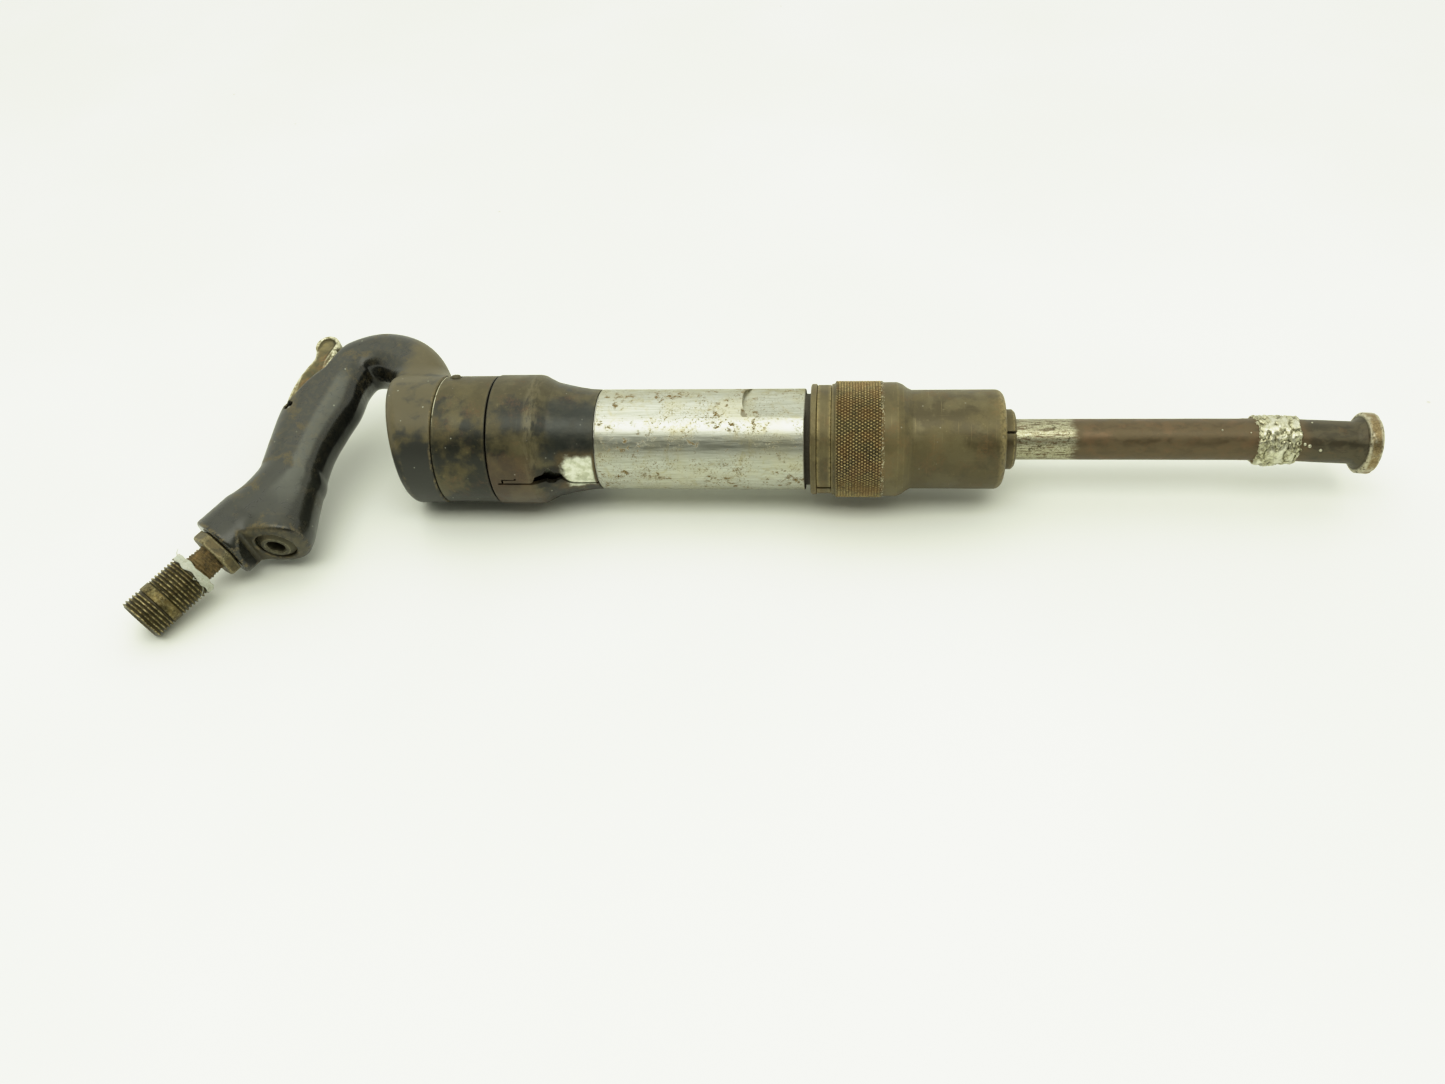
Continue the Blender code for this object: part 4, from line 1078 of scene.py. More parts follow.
def handle_field(x, y, z):
    offset, width, depth, beyond = in_plane(near_path, x, y)
    power = 2.5
    section = (np.abs(offset) / width) ** power + (np.abs(z) / depth) ** power
    neck = (section ** (1 / power) - 1) * np.minimum(width, depth) * 1.05
    neck = soft_max(neck, beyond - 0.5, 3.0)
    # head, its rear face leaning
    radius = np.hypot(y, z)
    lean = np.clip((-30.0 - x) / 14.0, 0, 1)
    head = round_box(x + 0.2 * y * lean * lean * (3 - 2 * lean), radius, -51.0, -14.0, HEAD_R, 6.0)
    head = soft_max(head, x + 26.3, 0.7)
    solid = soft_min(neck, head, 8.5)
    # oval inlet boss, thinner inside the handle
    along, across = inlet_frame(x, y)
    across = np.abs(across)
    inlet_radius = np.hypot(across, z)
    thin = 1 - 0.3 * np.clip((-24.0 - along) / 28.0, 0, 1)
    power = 2.3
    oval = (across / (16.2 * thin)) ** power + (np.abs(z) / (15.2 * thin)) ** power
    boss = round_box(along, oval ** (1 / power) * 15.8, -56.0, -5.8, 15.5, 1.5)
    solid = soft_min(solid, boss, 6.5)
    # foot round the throttle cap, faced flat
    bore_radius = np.hypot(x - THROTTLE_X, z)
    foot = round_box(-y, bore_radius + 0.2 * np.clip(54.0 + y, 0, 16), 38.0, 63.1, 13.6, 4.2)
    solid = soft_min(solid, foot, 4.0)
    facing = soft_max(y - (CAP_Y + 0.4), bore_radius - 22.0, 1.5)
    solid = soft_max(solid, -soft_max(facing, -111.2 - x, 1.5), 0.8)
    # spigot under the clamp sleeve, and the bores
    solid = np.minimum(solid, cylinder(radius, 26.0, x, -30.0, -3.0))
    solid = soft_max(solid, -np.maximum(radius - 22.3, -(x + 40.0)), 0.5)
    for size, start, end in THROTTLE_BORES:
        solid = soft_max(solid, -cylinder(bore_radius, size, y, start, end), 0.5)
    for size, start, end in INLET_BORES:
        solid = soft_max(solid, -cylinder(inlet_radius, size, along, start, end), 0.5)
    slot = in_plane(polygon_distance, x, y, SLOT)
    cheek = in_plane(polygon_distance, x, y, CHEEK)
    solid = soft_max(solid, -cheek, 1.1)
    solid = soft_max(solid, -np.maximum(slot, np.abs(z) - SLOT_HALF), 0.8)
    solid = soft_max(solid, -(np.hypot(x - PIVOT_X, y - PIVOT_Y) - 2.45), 0.5)
    # radial hole for the lock button
    out = y * LOCK_DIR[1] + z * LOCK_DIR[2]
    off_axis = np.sqrt(np.maximum((x - LOCK_X) ** 2 + y * y + z * z - out ** 2, 0))
    return np.maximum(solid, -np.maximum(off_axis - LOCK_HOLE_R, 23.8 - out))


cast("handle_casting", handle_field, (-141, -76, -33), (0, 68, 33), 0.85, PAINT, "handle")

# ------------------------------------------------------------------ throttle lever
TIP_X, TIP_Y, TIP_R = -103.4, 58.2, 6.4
# rear and front edges of the arm: x, y
ARM_REAR = [(-114.8, 16.0), (-114.8, 24.0), (-113.4, 33.6), (-111.0, 41.5), (-108.2, 48.4),
            (-108.4, 52.8)]
ARM_FRONT = [(-97.4, 53.6), (-97.9, 48.0), (-99.8, 40.0), (-101.6, 32.0), (-102.2, 25.0)]


def arc(x, y, radius, angles):
    return [(x + radius * math.cos(math.radians(a)), y + radius * math.sin(math.radians(a)))
            for a in angles]


LEVER_OUTLINE = [
    *arc(TIP_X, TIP_Y, TIP_R, range(-30, 216, 12)),
    *curve(ARM_REAR, 4)[::-1],
    *arc(PIVOT_X, PIVOT_Y, 5.4, range(190, 281, 15)),
    (-105.2, 11.0), (-103.2, 13.8), (-102.0, 14.8), (THROTTLE_X + 1.4, 15.1),
    (THROTTLE_X + 1.9, 16.6), (THROTTLE_X + 1.9, 19.2), (-101.6, 21.6),
    *curve(ARM_FRONT, 4)[::-1],
]


def lever_field(x, y, z):
    edge = in_plane(polygon_distance, x, y, LEVER_OUTLINE)
    solid = soft_max(edge, np.abs(z) - 4.8, 1.5)
    # a shallow dish in the round tip, running out down the arm
    drop = np.clip((TIP_Y - y) / 11.0, 0, 1)
    dish = np.hypot(x - TIP_X + 3.2 * drop, np.maximum(y - TIP_Y, 0)) - 4.3
    dish = soft_max(dish, 3.5 + 1.5 * drop - np.abs(z), 0.9)
    solid = soft_max(solid, -dish, 1.0)
    return soft_max(solid, -(np.hypot(x - PIVOT_X, y - PIVOT_Y) - 2.4), 0.4)


cast("lever_forging", lever_field, (-121, 5, -7), (-93, 68, 7), 0.42, LEVER,
     "throttle_lever", "lever")

# turned profiles below: along the axis, radius, corner rounding
turned("lever_pin_peened", [
    (-8.6, 0, 0), (-8.6, 1.0, 0), (-8.1, 2.0, 0.5), (8.1, 2.0, 0.5), (8.6, 1.0, 0), (8.6, 0, 0),
], STEEL, "lever_pin", segs=40, base=(PIVOT_X, PIVOT_Y, 0), axis=(0, 0, 1), step=1.0)

turned("throttle_cap_turned", [
    (47.5, 0, 0), (47.5, 7.6, 0.4), (52.6, 7.6, 0.2), (52.6, 5.0, 0.2), (55.0, 5.0, 0.2),
    (55.0, 9.2, 0.3), (61.6, 9.2, 0.7), (62.7, 7.6, 0.9), (63.5, 6.6, 0.7), (63.5, 5.0, 0.5),
    (62.9, 4.3, 0.3), (57.4, 4.2, 0.2), (56.6, 0, 0),
], CAP, "throttle_cap", segs=96, base=(THROTTLE_X, 0, 0), axis=(0, -1, 0), step=1.2)


# ------------------------------------------------------------------ inlet fittings
def bushing_field(x, y, z):
    along, across = inlet_frame(x, y)
    radius = np.hypot(across, z)
    flats = np.abs(across)
    for sign in (1, -1):
        flats = np.maximum(flats, np.abs(0.5 * across + sign * 0.8660254 * z))
    hexagon = soft_max(flats - 11.1, np.abs(along + 2.7) - 2.7, 0.5)
    chamfer = radius - 12.35 + np.maximum(along + 1.2, 0) * 0.6
    solid = np.minimum(soft_max(hexagon, chamfer, 0.4),
                       cylinder(radius, 9.4, along, -19.0, -5.0))
    solid = soft_max(solid, -np.maximum(radius - 7.25, -(along + 9.5)), 0.4)
    return np.maximum(solid, -(radius - 5.5))


cast("bushing_hexagon", bushing_field, (-145, -90, -14.5), (-100, -38, 14.5), 0.42, BUSHING,
     "inlet_bushing")


def thread(x, angle, pitch, sharp=1.5):
    """Height of a helical thread, 0 to 1."""
    t = (x / pitch - angle / (2 * math.pi)) % 1.0
    return np.clip((1 - np.abs(2 * t - 1)) * sharp - (sharp - 1) * 0.45, 0, 1)


def rise(x, start, end):
    t = np.clip((x - start) / (end - start), 0, 1)
    return t * t * (3 - 2 * t)


def threaded(name, rows, radius, bore, material, node, segs, wear, cav=None):
    """Sleeve on the inlet axis: outside radius(x, angle), bore a list of (x, radius)."""
    segs = max(36, int(segs * DETAIL))
    outer = len(rows)
    bore_x, bore_r = np.array(bore).T
    along, angles = np.meshgrid(np.concatenate([rows, bore_x]), full_turn(segs), indexing="ij")
    radii = radius(along, angles)
    radii[outer:] = bore_r[:, None]
    worn = wear(along, radii)
    worn[outer:] = 0.35
    hollow = cav(along, radii) if cav else np.zeros_like(along)
    hollow[outer:] = 0.0
    build(name, around_axis(along, angles, radii, INLET, INLET_DIR),
          skin(len(along), segs, closed=True), material, node,
          wear=worn.ravel(), cav=hollow.ravel(), sharp=45)


def nipple_radius(x, angle):
    uneven = 0.28 * np.sin(angle * 3 + x * 0.7) * np.sin(x * 1.3 + angle)
    return 6.6 + 0.42 * thread(x, angle, 1.41, 1.7) * (rise(x, 1.0, 2.4) * 0.6 + 0.4) + uneven


threaded("nipple_threaded", np.arange(-9.2, 21.01, 0.3), nipple_radius,
         [(21.0, 4.6), (-9.2, 4.6)], RUST, "pipe_nipple", segs=96,
         wear=lambda x, radius: np.clip((radius - 7.1) * 3, 0, 1) * 0.5)

ADAPTER_PITCH, ADAPTER_END = 1.814, 42.2


def adapter_radius(x, angle):
    """Two tapered threads with a plain band between them."""
    inner = rise(x, 12.6, 14.2) * (1 - rise(x, 26.6, 27.3))
    outer = rise(x, 32.4, 33.2) * (1 - rise(x, ADAPTER_END - 0.9, ADAPTER_END))
    taper = (x - 27) / 32.0 * 0.12
    core = 9.78 + taper * (x < 27) - taper * (x > 31) * 0.6
    radius = core + thread(x, angle, ADAPTER_PITCH) * (inner + outer)
    band = rise(x, 27.1, 27.7) * (1 - rise(x, 32.0, 32.5))
    radius = radius * (1 - band) + 10.62 * band
    radius = np.minimum(radius, 8.9 + rise(x, 9.4, 11.8) * 3)
    return radius - 0.55 * rise(x, ADAPTER_END - 0.8, ADAPTER_END)


def adapter_wear(x, radius):
    band = rise(x, 27.3, 27.8) * (1 - rise(x, 31.9, 32.3))
    return np.clip((radius - 10.45) * 4.5, 0, 1) * (1 - band * 0.7)


threaded("adapter_threads", np.concatenate([np.arange(9.4, 42.0, 0.17), [42.05, ADAPTER_END]]),
         adapter_radius, [(ADAPTER_END, 7.6), (21.4, 7.6), (21.4, 7.2), (9.4, 7.2)],
         BRASS, "hose_adapter", segs=168, wear=adapter_wear,
         # thread roots get cav, which the brass paints as shade
         cav=lambda x, radius: np.clip((10.15 - radius) * 3.0, 0, 1) * (x > 12))


def ragged_tape(along, angles, radii):
    """Wavers both edges of the tape and its outer surface."""
    waver = np.vectorize(
        lambda a, seed: noise.noise(Vector((math.cos(a) * 2.2, math.sin(a) * 2.2, seed))))
    edge = waver(angles, 3.0) * 1.5 + waver(angles, 9.0) * 0.5
    lift = np.clip(waver(angles, 5.0), -0.5, 0.6) * 0.25
    moved = along + np.where(along > 11.4, edge, -edge * 0.6)
    return moved, radii + lift * np.clip(radii - 10.5, 0, 1)


turned("tape_wrap", [
    (9.2, 10.1, 0.2), (9.2, 10.7, 0.4), (10.2, 11.1, 0.6), (11.2, 10.9, 0.5),
    (12.0, 11.05, 0.5), (12.9, 10.95, 0.3), (12.9, 10.85, 0.1), (11.8, 10.55, 0.2),
], TAPE, "thread_tape", segs=128, base=INLET, axis=INLET_DIR, step=0.6, shape=ragged_tape)


def tape_string(name, radius, stations):
    """Tapering strand through stations of (along, across, z) on the inlet."""
    sides = 6
    path = curve([INLET + INLET_DIR * along + INLET_SIDE * across + np.array([0, 0, z])
                  for along, across, z in stations], 6)
    last = len(path) - 1
    points = []
    for i, center in enumerate(path):
        _, first, second = basis(path[min(i + 1, last)] - path[max(i - 1, 0)])
        thickness = radius * (1 - 0.75 * i / last)
        for j in range(sides):
            angle = 2 * math.pi * j / sides
            spoke = math.cos(angle) * first + math.sin(angle) * second
            points.append(center + thickness * spoke)
    build(name, points, skin(len(path), sides) + ends(len(path), sides), TAPE)


tape_string("tape_string_a", 0.3, [(13.0, 9.6, 5.2), (12.4, 11.6, 5.6), (11.0, 13.6, 5.0),
                                   (10.6, 16.2, 4.4)])
tape_string("tape_string_b", 0.2, [(13.4, 10.8, 1.0), (14.4, 12.6, 1.6), (16.8, 13.4, 0.4),
                                   (19.6, 12.8, -0.8)])
tape_string("tape_string_c", 0.25, [(10.2, -10.4, 4.4), (9.0, -11.8, 5.0), (7.4, -12.4, 5.6)])
tape_string("tape_string_d", 0.22, [(13.2, 8.6, 7.2), (14.0, 9.8, 8.0), (13.0, 11.6, 7.8),
                                    (12.6, 13.0, 6.6)])

# ------------------------------------------------------------------ clamp sleeve, lock button
sleeve = turned("clamp_sleeve_turned", [
    (-25.9, 26.3, 0.3), (-25.9, 30.5, 0.55), (-0.3, 30.5, 0.3), (-0.3, 26.3, 0.3),
], SLEEVE, "clamp_sleeve", segs=224, step=1.6)
hole = lathe([(23, 0, 0), (23, LOCK_HOLE_R, 0), (34, LOCK_HOLE_R, 0), (34, 0, 0)],
             segs=48, base=(LOCK_X, 0, 0), axis=LOCK_DIR)
cut(sleeve, *hole[:2])
turned("lock_button_domed", [
    (26.6, 0, 0), (26.6, 2.45, 0.2), (30.6, 2.45, 0.5), (31.6, 1.9, 0.6), (31.9, 0, 0),
], SLEEVE, "lock_button", "lock_button", segs=48, base=(LOCK_X, 0, 0), axis=LOCK_DIR, step=0.8)

# ------------------------------------------------------------------ exhaust deflector
deflector = turned("deflector_spun", [
    (0.4, 30.7, 0.3), (0.9, 31.0, 0.3), (19.6, 31.0, 2.5), (21.6, 30.6, 2.0), (24.0, 29.3, 3.0),
    (27.8, 27.4, 5.0), (32.9, 26.2, 8.0), (38.6, 25.0, 10.0), (44.2, 24.1, 10.0),
    (49.3, 23.8, 0.35), (49.3, 22.4, 0.1), (45.0, 22.4, 0.5), (38.6, 22.9, 1), (32.9, 24.1, 1),
    (27.8, 25.2, 1), (24.0, 27.1, 1), (20.6, 28.7, 1), (2.6, 28.9, 0.5), (2.6, 22.4, 0.2),
    (0.4, 22.4, 0.2),
], DEFLECTOR, "exhaust_deflector", "deflector", segs=224, step=1.4)
# opening cut through the wall: x, angle
CLASP = [
    (3.8, -81.2), (20.4, -81.2), (23.0, -81.4), (26.2, -81.8), (26.8, -84.2), (27.6, -85.6),
    (29.0, -86.5), (30.2, -86.2), (31.6, -83.6), (33.2, -83.2), (34.4, -86.4), (35.8, -90.4),
    (37.6, -93.2), (40.2, -95.2), (43.6, -97.2), (51.5, -99.2), (51.5, -96.1), (44.0, -94.6),
    (40.6, -93.0), (38.2, -91.0), (36.4, -88.0), (35.0, -84.0), (34.2, -80.5), (33.6, -77.0),
    (33.0, -74.6), (31.4, -73.9), (29.9, -72.4), (28.9, -68.9), (27.9, -67.0), (26.9, -67.3),
    (26.1, -70.6), (25.0, -72.7), (23.2, -72.9), (21.7, -73.3), (21.1, -75.7), (20.4, -78.2),
    (19.4, -79.2), (6.5, -79.2), (6.5, -76.4), (12.8, -76.1), (12.8, -74.0), (12.1, -74.0),
    (12.1, -75.2), (5.6, -75.4), (5.6, -79.2), (3.8, -79.2),
]
cut(deflector, *radial_prism(CLASP, (20.8, 36.0)))

# ------------------------------------------------------------------ barrel
barrel = turned("barrel_ground", [
    (-20.0, 14.3, 0.4), (-20.0, 22.0, 0.6), (49.9, 22.0, 0.2), (49.9, BARREL_R, 0.35),
    (146.9, BARREL_R, 0.8), (146.9, 21.4, 0.3), (186.0, 21.4, 1.0), (186.0, 13.2, 0.5),
    (156.0, 13.2, 0.1), (156.0, 14.3, 0.1),
], BRIGHT, "barrel", segs=256, step=4.0)
# half of the flats' rounded rear end: x, sideways
FLAT_END = [(125.5, 16), (122.6, 13.4), (120.6, 10.4), (119.2, 8.6), (118.3, 6.6), (117.9, 4.0)]
FLAT = [(148.2, -16), (148.2, 16), *FLAT_END, (117.8, 0.0),
        *((x, -side) for x, side in reversed(FLAT_END))]
for angle in (FLAT_ANGLE, FLAT_ANGLE + 180):
    cut(barrel, *square_prism([(x, out, side) for out in (20.65, 30.0) for x, side in FLAT],
                              angle))

# ------------------------------------------------------------------ retainer, diamond knurl
KNURL_START, KNURL_END, KNURL_R, KNURL_DEPTH = 160.9, 182.0, 27.2, 0.8
TEETH, LEAD = 108, 2.6      # crossing grooves round the band, x travel per groove
RETAINER_PROFILE = [
    (149.3, 21.8, 0.3), (149.3, 25.4, 0.5), (149.8, 25.95, 0.3), (151.7, 25.95, 0.4),
    (152.1, 25.5, 0.2), (152.1, 24.0, 0.3), (158.9, 24.0, 0.3), (158.9, 25.9, 0.3),
    (160.3, 26.0, 0.2), (160.6, 27.0, 0.15), (KNURL_START, KNURL_R, 0.0),
    (KNURL_END, KNURL_R, 0.0), (182.4, 26.9, 0.2), (182.6, 26.6, 0.2), (188.8, 26.6, 2.6),
    (191.4, 25.6, 3.0), (193.6, 23.9, 2.6), (195.4, 23.0, 2.2), (237.4, 23.0, 6.2),
    (237.4, 14.3, 0.4), (228.0, 14.3, 0.3), (228.0, 19.6, 0.3), (190.0, 19.6, 0.5),
    (188.2, 21.8, 0.5)]


def build_retainer():
    segs = max(360, int(720 * DETAIL))
    inside = (170.0, 21.8, 0)       # the ring section opens and closes in the bore
    profile = rounded([inside, *RETAINER_PROFILE, inside], 3.0)[:, :-1]
    start, stop = (int(np.argmin(np.abs(profile[0] - end) + np.abs(profile[1] - KNURL_R)))
                   for end in (KNURL_START, KNURL_END))
    rows = np.arange(KNURL_START, KNURL_END + 0.01, 0.25)
    profile = with_fine_rows(profile, start, stop + 1, rows, KNURL_R)
    x, radius, wear, cav = profile[:, :, None]
    knurled = np.zeros_like(x)
    knurled[start:start + len(rows)] = 1
    along, angles = np.meshgrid(x[:, 0], full_turn(segs), indexing="ij")
    tooth = TEETH * angles / (2 * math.pi)
    one_way = (tooth + along / LEAD) % 1.0
    other_way = (tooth - along / LEAD) % 1.0
    high = np.minimum(1 - np.abs(2 * one_way - 1), 1 - np.abs(2 * other_way - 1))
    high = np.clip(high * 1.55, 0, 1)
    knurled = knurled * np.minimum(rise(along, KNURL_START, KNURL_START + 0.7),
                                   1 - rise(along, KNURL_END - 0.7, KNURL_END))
    radii = radius - knurled * (1 - high) * KNURL_DEPTH
    wear = wear * 0.35 + knurled * np.clip(high * 2.2 - 1.3, 0, 1) * 0.95
    # the knurl valleys get cav, which the material paints as shade
    cav = cav * 0.5 + knurled * np.clip(0.8 - high, 0, 1) * 1.3
    points = np.stack([along, radii * np.sin(angles), radii * np.cos(angles)], -1)
    build("retainer_knurled", points.reshape(-1, 3), skin(len(x), segs, closed=True), RETAINER,
          "retainer", "retainer", np.clip(wear, 0, 1).ravel(), np.clip(cav, 0, 1).ravel(),
          sharp=55)


build_retainer()
spring = turned("lock_spring_band", [
    (152.35, 24.25, 0.1), (152.35, 25.45, 0.3), (158.65, 25.45, 0.3), (158.65, 24.25, 0.1),
], RETAINER, "retainer_lock_spring", "retainer", segs=192, step=2.0)
# gap in the spring band
cut(spring, *radial_prism([(151, -101.5), (160, -101.5), (160, -97.5), (151, -97.5)], (22, 28)))

# each half loses the far side of the split plane
for label, angle in (("upper", SPLIT_ANGLE + 90), ("lower", SPLIT_ANGLE - 90)):
    half = turned(f"sleeve_half_{label}", [
        (220.0, 9.8, 0.3), (220.0, 19.0, 0.3), (227.6, 19.0, 0.4), (227.6, 13.85, 0.4),
        (241.4, 13.85, 0.8), (242.6, 12.6, 0.4), (242.6, 9.8, 0.3),
    ], RETAINER, f"split_sleeve_{label}", "split_sleeve", segs=144, step=2.0)
    cut(half, *square_prism([(x, out, side) for x in (215.0, 250.0)
                             for out, side in ((0.6, -30), (0.6, 30), (-30, 30), (-30, -30))],
                            angle))

# ------------------------------------------------------------------ tool: shank, rod, flange
# the rod bends slightly at a repair weld
WELD_X, BEND = 358.0, math.radians(3.2)
LEAN = np.array([0.0, -0.249, -0.969])
LEAN /= np.linalg.norm(LEAN)
BENT_DIR = np.array([math.cos(BEND), 0, 0]) + LEAN * math.sin(BEND)
FLANGE_X, FLANGE_T, FLANGE_R = 394.3, 6.2, 13.8
FLANGE_END = FLANGE_X + FLANGE_T
TOOL_PROFILE = [
    (148.0, 0, 0), (148.0, 7.4, 0.4), (149.2, 8.65, 0.4), (189.3, 8.65, 0.2),
    (189.3, 14.5, 0.3), (190.3, 15.5, 0.5), (196.0, 15.5, 0.6), (197.5, 13.5, 0.8),
    (201.0, ROD_R, 1.5), (345.0, ROD_R, 0), (372.0, ROD_R + 0.15, 0),
    (FLANGE_X - 3.0, ROD_R + 0.15, 3.0), (FLANGE_X, ROD_R + 2.0, 0.6),
    (FLANGE_X + 0.15, FLANGE_R - 0.9, 0.5), (FLANGE_X + 0.9, FLANGE_R, 0.8),
    (FLANGE_END - 0.9, FLANGE_R, 1.1), (FLANGE_END, FLANGE_R - 1.2, 0.8), (FLANGE_END, 0, 0)]


def tool_point(x, angle, radius):
    x, angle, radius = np.broadcast_arrays(x, angle, radius)
    bent = (x > WELD_X)[..., None]
    axis = np.where(bent, BENT_DIR, np.array([1.0, 0, 0]))
    center = np.where(bent,
                      np.array([WELD_X, 0, 0]) + (x - WELD_X)[..., None] * BENT_DIR,
                      np.stack([x, x * 0, x * 0], -1))
    first = np.cross(axis, np.array([0, 1.0, 0]))
    first /= np.linalg.norm(first, axis=-1, keepdims=True)
    second = np.cross(axis, first)
    spoke = np.cos(angle)[..., None] * first + np.sin(angle)[..., None] * second
    return center + spoke * radius[..., None]


def weld_bead(x, cos, sin):
    """Height, weld mask, wear and cavity of the lumpy bead."""
    ring = Vector((cos * 3.0, sin * 3.0, 0))
    left = (348.2 + 1.5 * noise.noise(ring * 0.9 + Vector((0, 0, 4)))
            + 0.7 * noise.noise(ring * 2.4))
    right = (366.9 + 1.8 * noise.noise(ring * 0.8 + Vector((0, 0, 9)))
             + 0.8 * noise.noise(ring * 2.6 + Vector((5, 0, 0))))
    fade = min((x - left) / 1.1, (right - x) / 1.2)
    if fade <= 0:
        return 0.0, 0.0, 0.0, 0.0
    fade = math.sin(min(1.0, fade) * math.pi / 2)
    spot = Vector((x * 0.34, cos * 3.1, sin * 3.1))
    bead = abs(noise.noise(spot + Vector((0, 0, 2.0)) + Vector((sin, 0, cos)) * 0.8))
    warp = Vector((0.5 * noise.noise(spot * 0.7),
                   0.9 * noise.noise(spot * 0.8 + Vector((9, 0, 0))), 0.0))
    broad = abs(noise.noise(Vector((x * 0.34, cos * 1.5, sin * 1.5)) + warp))
    small = abs(noise.noise(Vector((x * 0.62 + 5.0, cos * 2.6, sin * 2.6)) + warp))
    height = (0.36 + 0.35 * bead + 0.80 * min(1.0, broad * 3.4) ** 0.7
              + 0.34 * min(1.0, small * 3.4) ** 0.8)
    height += 0.08 * noise.noise(spot * 3.1)
    wear = min(1.0, max(0.0, broad - 0.22) * 3.0) * fade
    cav = min(1.0, max(0.0, 0.075 - broad) * 15.0 + max(0.0, 0.05 - small) * 12.0) * fade
    return fade * height, min(1.0, fade * 1.6), wear, cav


def build_tool():
    segs = max(96, int(224 * DETAIL))
    profile = rounded(TOOL_PROFILE, 2.6)
    start, stop = (int(np.searchsorted(profile[0][:-3], x)) for x in (343.6, 373.2))
    rows = np.arange(344.0, 373.01, 0.3)
    profile = with_fine_rows(profile, start, stop, rows, ROD_R + 0.08)
    x, rim_radius = profile[:2]
    along, radii, wear, cav = (np.repeat(row[:, None], segs, 1) for row in profile)
    angles = np.repeat(full_turn(segs)[None], len(x), 0)
    weld = np.zeros_like(radii)
    on_rim = (x > 391.5) & (rim_radius > 12.4)
    for i, j in np.ndindex(radii.shape):
        cos, sin = math.cos(angles[i, j]), math.sin(angles[i, j])
        if on_rim[i]:  # chips and flats in the rim
            spot = Vector((cos * 2.6, sin * 2.6, x[i] * 0.22))
            radii[i, j] -= (max(0.0, noise.noise(spot) - 0.12) * 0.9
                            + 0.12 * abs(noise.noise(spot * 3)))
        elif 343.9 < x[i] < 373.1:
            height, weld[i, j], wear[i, j], cav[i, j] = weld_bead(x[i], cos, sin)
            radii[i, j] += height
        elif x[i] > 202:  # slightly out of round
            radii[i, j] += 0.05 * noise.noise(Vector((cos * 0.9, sin * 0.9, x[i] * 0.05)))
    wear[on_rim] = np.maximum(wear[on_rim], 0.75)
    # the weld sags into a heavier bead towards -y and -z
    points = tool_point(along, angles, radii)
    side = (points[..., 1] * -0.62 + points[..., 2] * -0.78) / np.maximum(radii, 1)
    sag = np.exp(-((along - 355.0) / 5.0) ** 2) * np.clip(side, 0, 1) ** 2 * 1.5 * weld
    points = tool_point(along, angles, radii + sag)
    # the end rings shrink to one tip each
    verts = np.concatenate([points[1:-1].reshape(-1, 3), [points[0].mean(0)],
                            [points[-1].mean(0)]])
    rear_tip, front_tip = len(verts) - 2, len(verts) - 1
    last_ring = (len(x) - 3) * segs
    faces = skin(len(x) - 2, segs)
    faces += [(rear_tip, (j + 1) % segs, j) for j in range(segs)]
    faces += [(front_tip, last_ring + j, last_ring + (j + 1) % segs) for j in range(segs)]
    wear, cav, weld = (np.concatenate([a[1:-1].ravel(), [0, 0]]) for a in (wear, cav, weld))
    ob = build("tool_rod_and_flange", verts, faces, TOOL, "tool_bit", "tool", wear, cav,
               sharp=50)
    ob.data.materials.append(WELD)
    for polygon in ob.data.polygons:
        if all(weld[v] > 0.25 for v in polygon.vertices):
            polygon.material_index = 1


build_tool()
# spatter beside the weld: x, angle, size
SPATTER = [(368.3, -48.6, 0.70), (370.4, -53.0, 0.80), (375.4, -63.2, 0.68), (372.6, 20.0, 0.4),
           (345.2, -20.0, 0.35), (333.0, -12.0, 0.4)]
SUNK = 0.25     # depth of a drop in the rod
for k, (x, angle, size) in enumerate(SPATTER):
    out = np.array([0.0, *polar(1, angle)])
    verts, faces, wear, cav = lathe([
        (0, 0, 0), (0, size, 0), (0.3 * size + SUNK, 1.05 * size, 0.3),
        (0.8 * size + SUNK, 0.7 * size, 0.4), (size + SUNK, 0, 0),
    ], segs=28, base=tool_point(x, 0.0, 0.0) + out * (ROD_R - SUNK), axis=out, step=0.3)
    build(f"spatter_{k}", verts, faces, WELD, body="tool", wear=np.full(len(wear), 0.6), cav=cav)

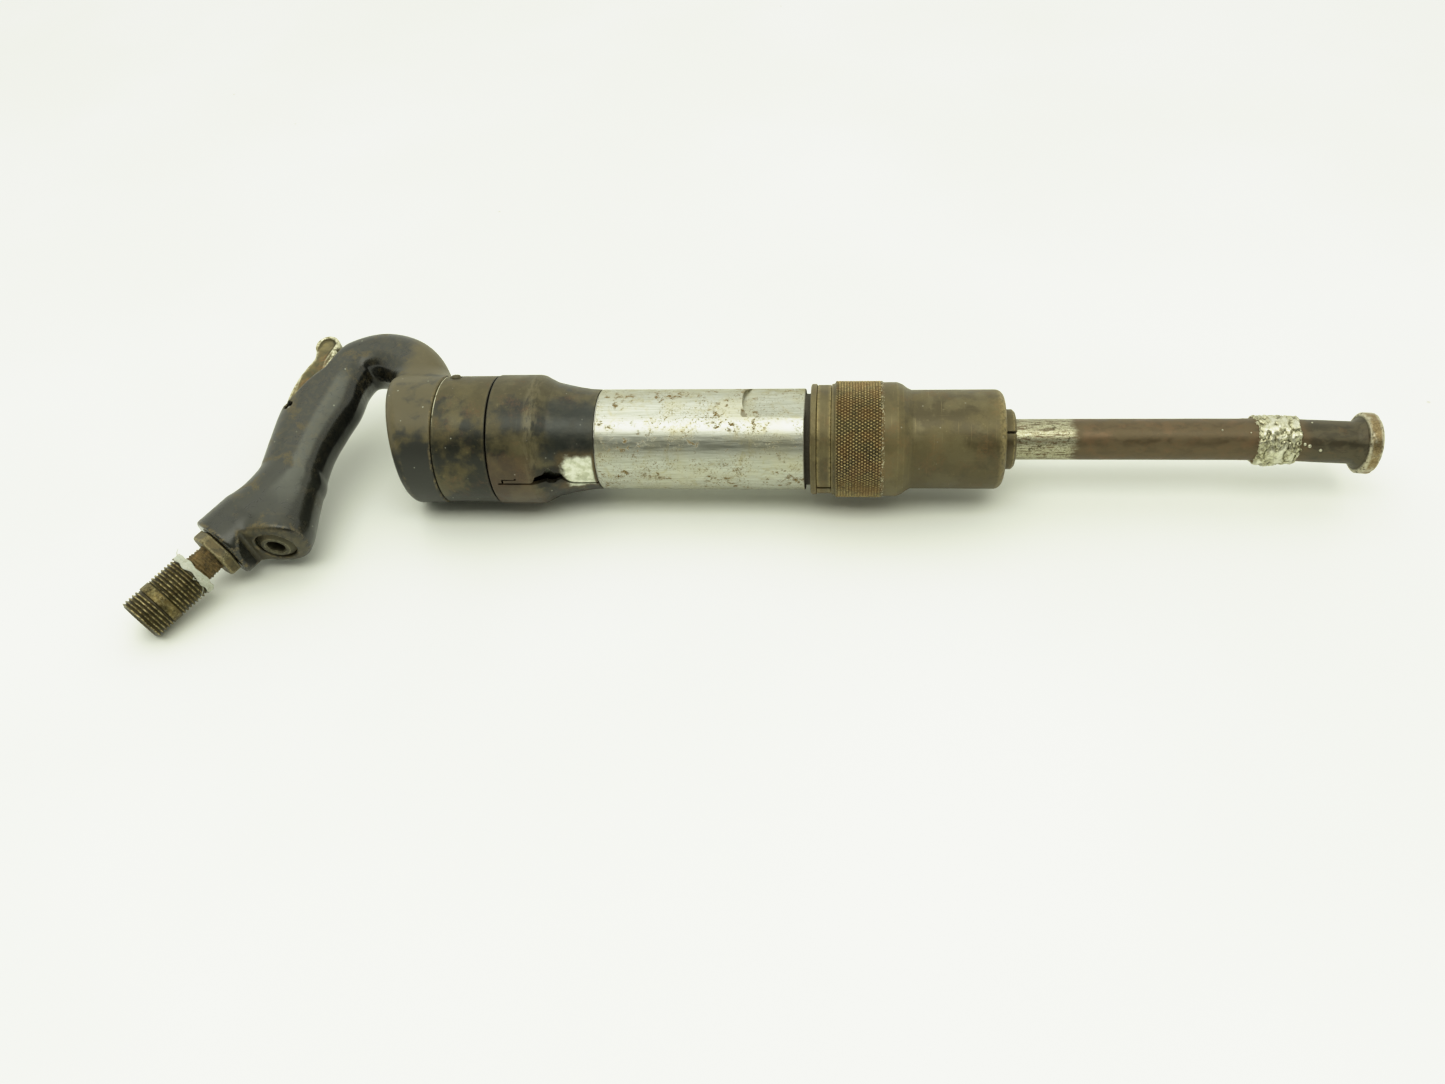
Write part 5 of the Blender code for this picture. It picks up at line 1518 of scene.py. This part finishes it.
# ------------------------------------------------------------------ bench, light, camera
bench_z = cad_box[0][2] - 0.0003
bpy.ops.mesh.primitive_grid_add(x_subdivisions=8, y_subdivisions=8, size=8,
                                location=(0, 0.8, bench_z))
bench = bpy.context.object
bench.name = "bench"
bench.data.materials.append(bench_white("bench_white"))


def build_world():
    """Pale room all round, with a darker band towards -y that only reflections see."""
    world = bpy.data.worlds.new("studio")
    bpy.context.scene.world = world
    world.use_nodes = True
    graph = Graph(world.node_tree, "ShaderNodeOutputWorld", "ShaderNodeBackground")
    _, y, z = graph.separate(graph.add("ShaderNodeTexCoord", "Generated"))
    front = y.ramp(-0.20, -0.55)
    band = z.ramp(0.12, 0.26) * z.ramp(0.86, 0.74)
    camera_ray = graph.add("ShaderNodeLightPath", "Is Camera Ray")
    dark = front * band * (1.0 - camera_ray)
    sky = graph.mix(dark, (0.975, 1.0, 0.935), (0.05, 0.05, 0.045))
    graph.put(graph.shader.inputs["Color"], sky)
    graph.put(graph.shader.inputs["Strength"], 1.1)


def area_light(name, location, size, power, color):
    """Rectangular light aimed at the world origin."""
    data = bpy.data.lights.new(name, "AREA")
    data.shape, data.energy, data.color = "RECTANGLE", power, color
    data.size, data.size_y = size
    ob = bpy.data.objects.new(name, data)
    bpy.context.scene.collection.objects.link(ob)
    ob.location = location
    aim = Vector((0, 0, 0)) - Vector(location)
    ob.rotation_euler = aim.to_track_quat("-Z", "Y").to_euler()


def build_camera():
    data = bpy.data.cameras.new("camera")
    data.sensor_width, data.lens, data.clip_start = 36.0, 28.65, 0.02
    camera = bpy.data.objects.new("camera", data)
    bpy.context.scene.collection.objects.link(camera)
    right = Vector((0.99396, 0.08302, -0.07182))
    up = Vector((-0.00977, 0.71856, 0.69540))
    forward = Vector((-0.10934, 0.69049, -0.71503))
    pose = Matrix((right, up, -forward)).transposed().to_4x4()
    pose.translation = ORIGIN + Vector((0.1674, -0.4136, 0.3578))
    camera.matrix_world = pose
    bpy.context.scene.camera = camera


build_world()
area_light("key", location=(-0.4, 0.6, 1.35), size=(1.3, 0.9), power=2.5,
           color=(0.98, 1.0, 0.95))
area_light("panel", location=(0.0, -0.42, 1.25), size=(1.6, 0.55), power=8.0,
           color=(0.99, 1.0, 0.95))
build_camera()
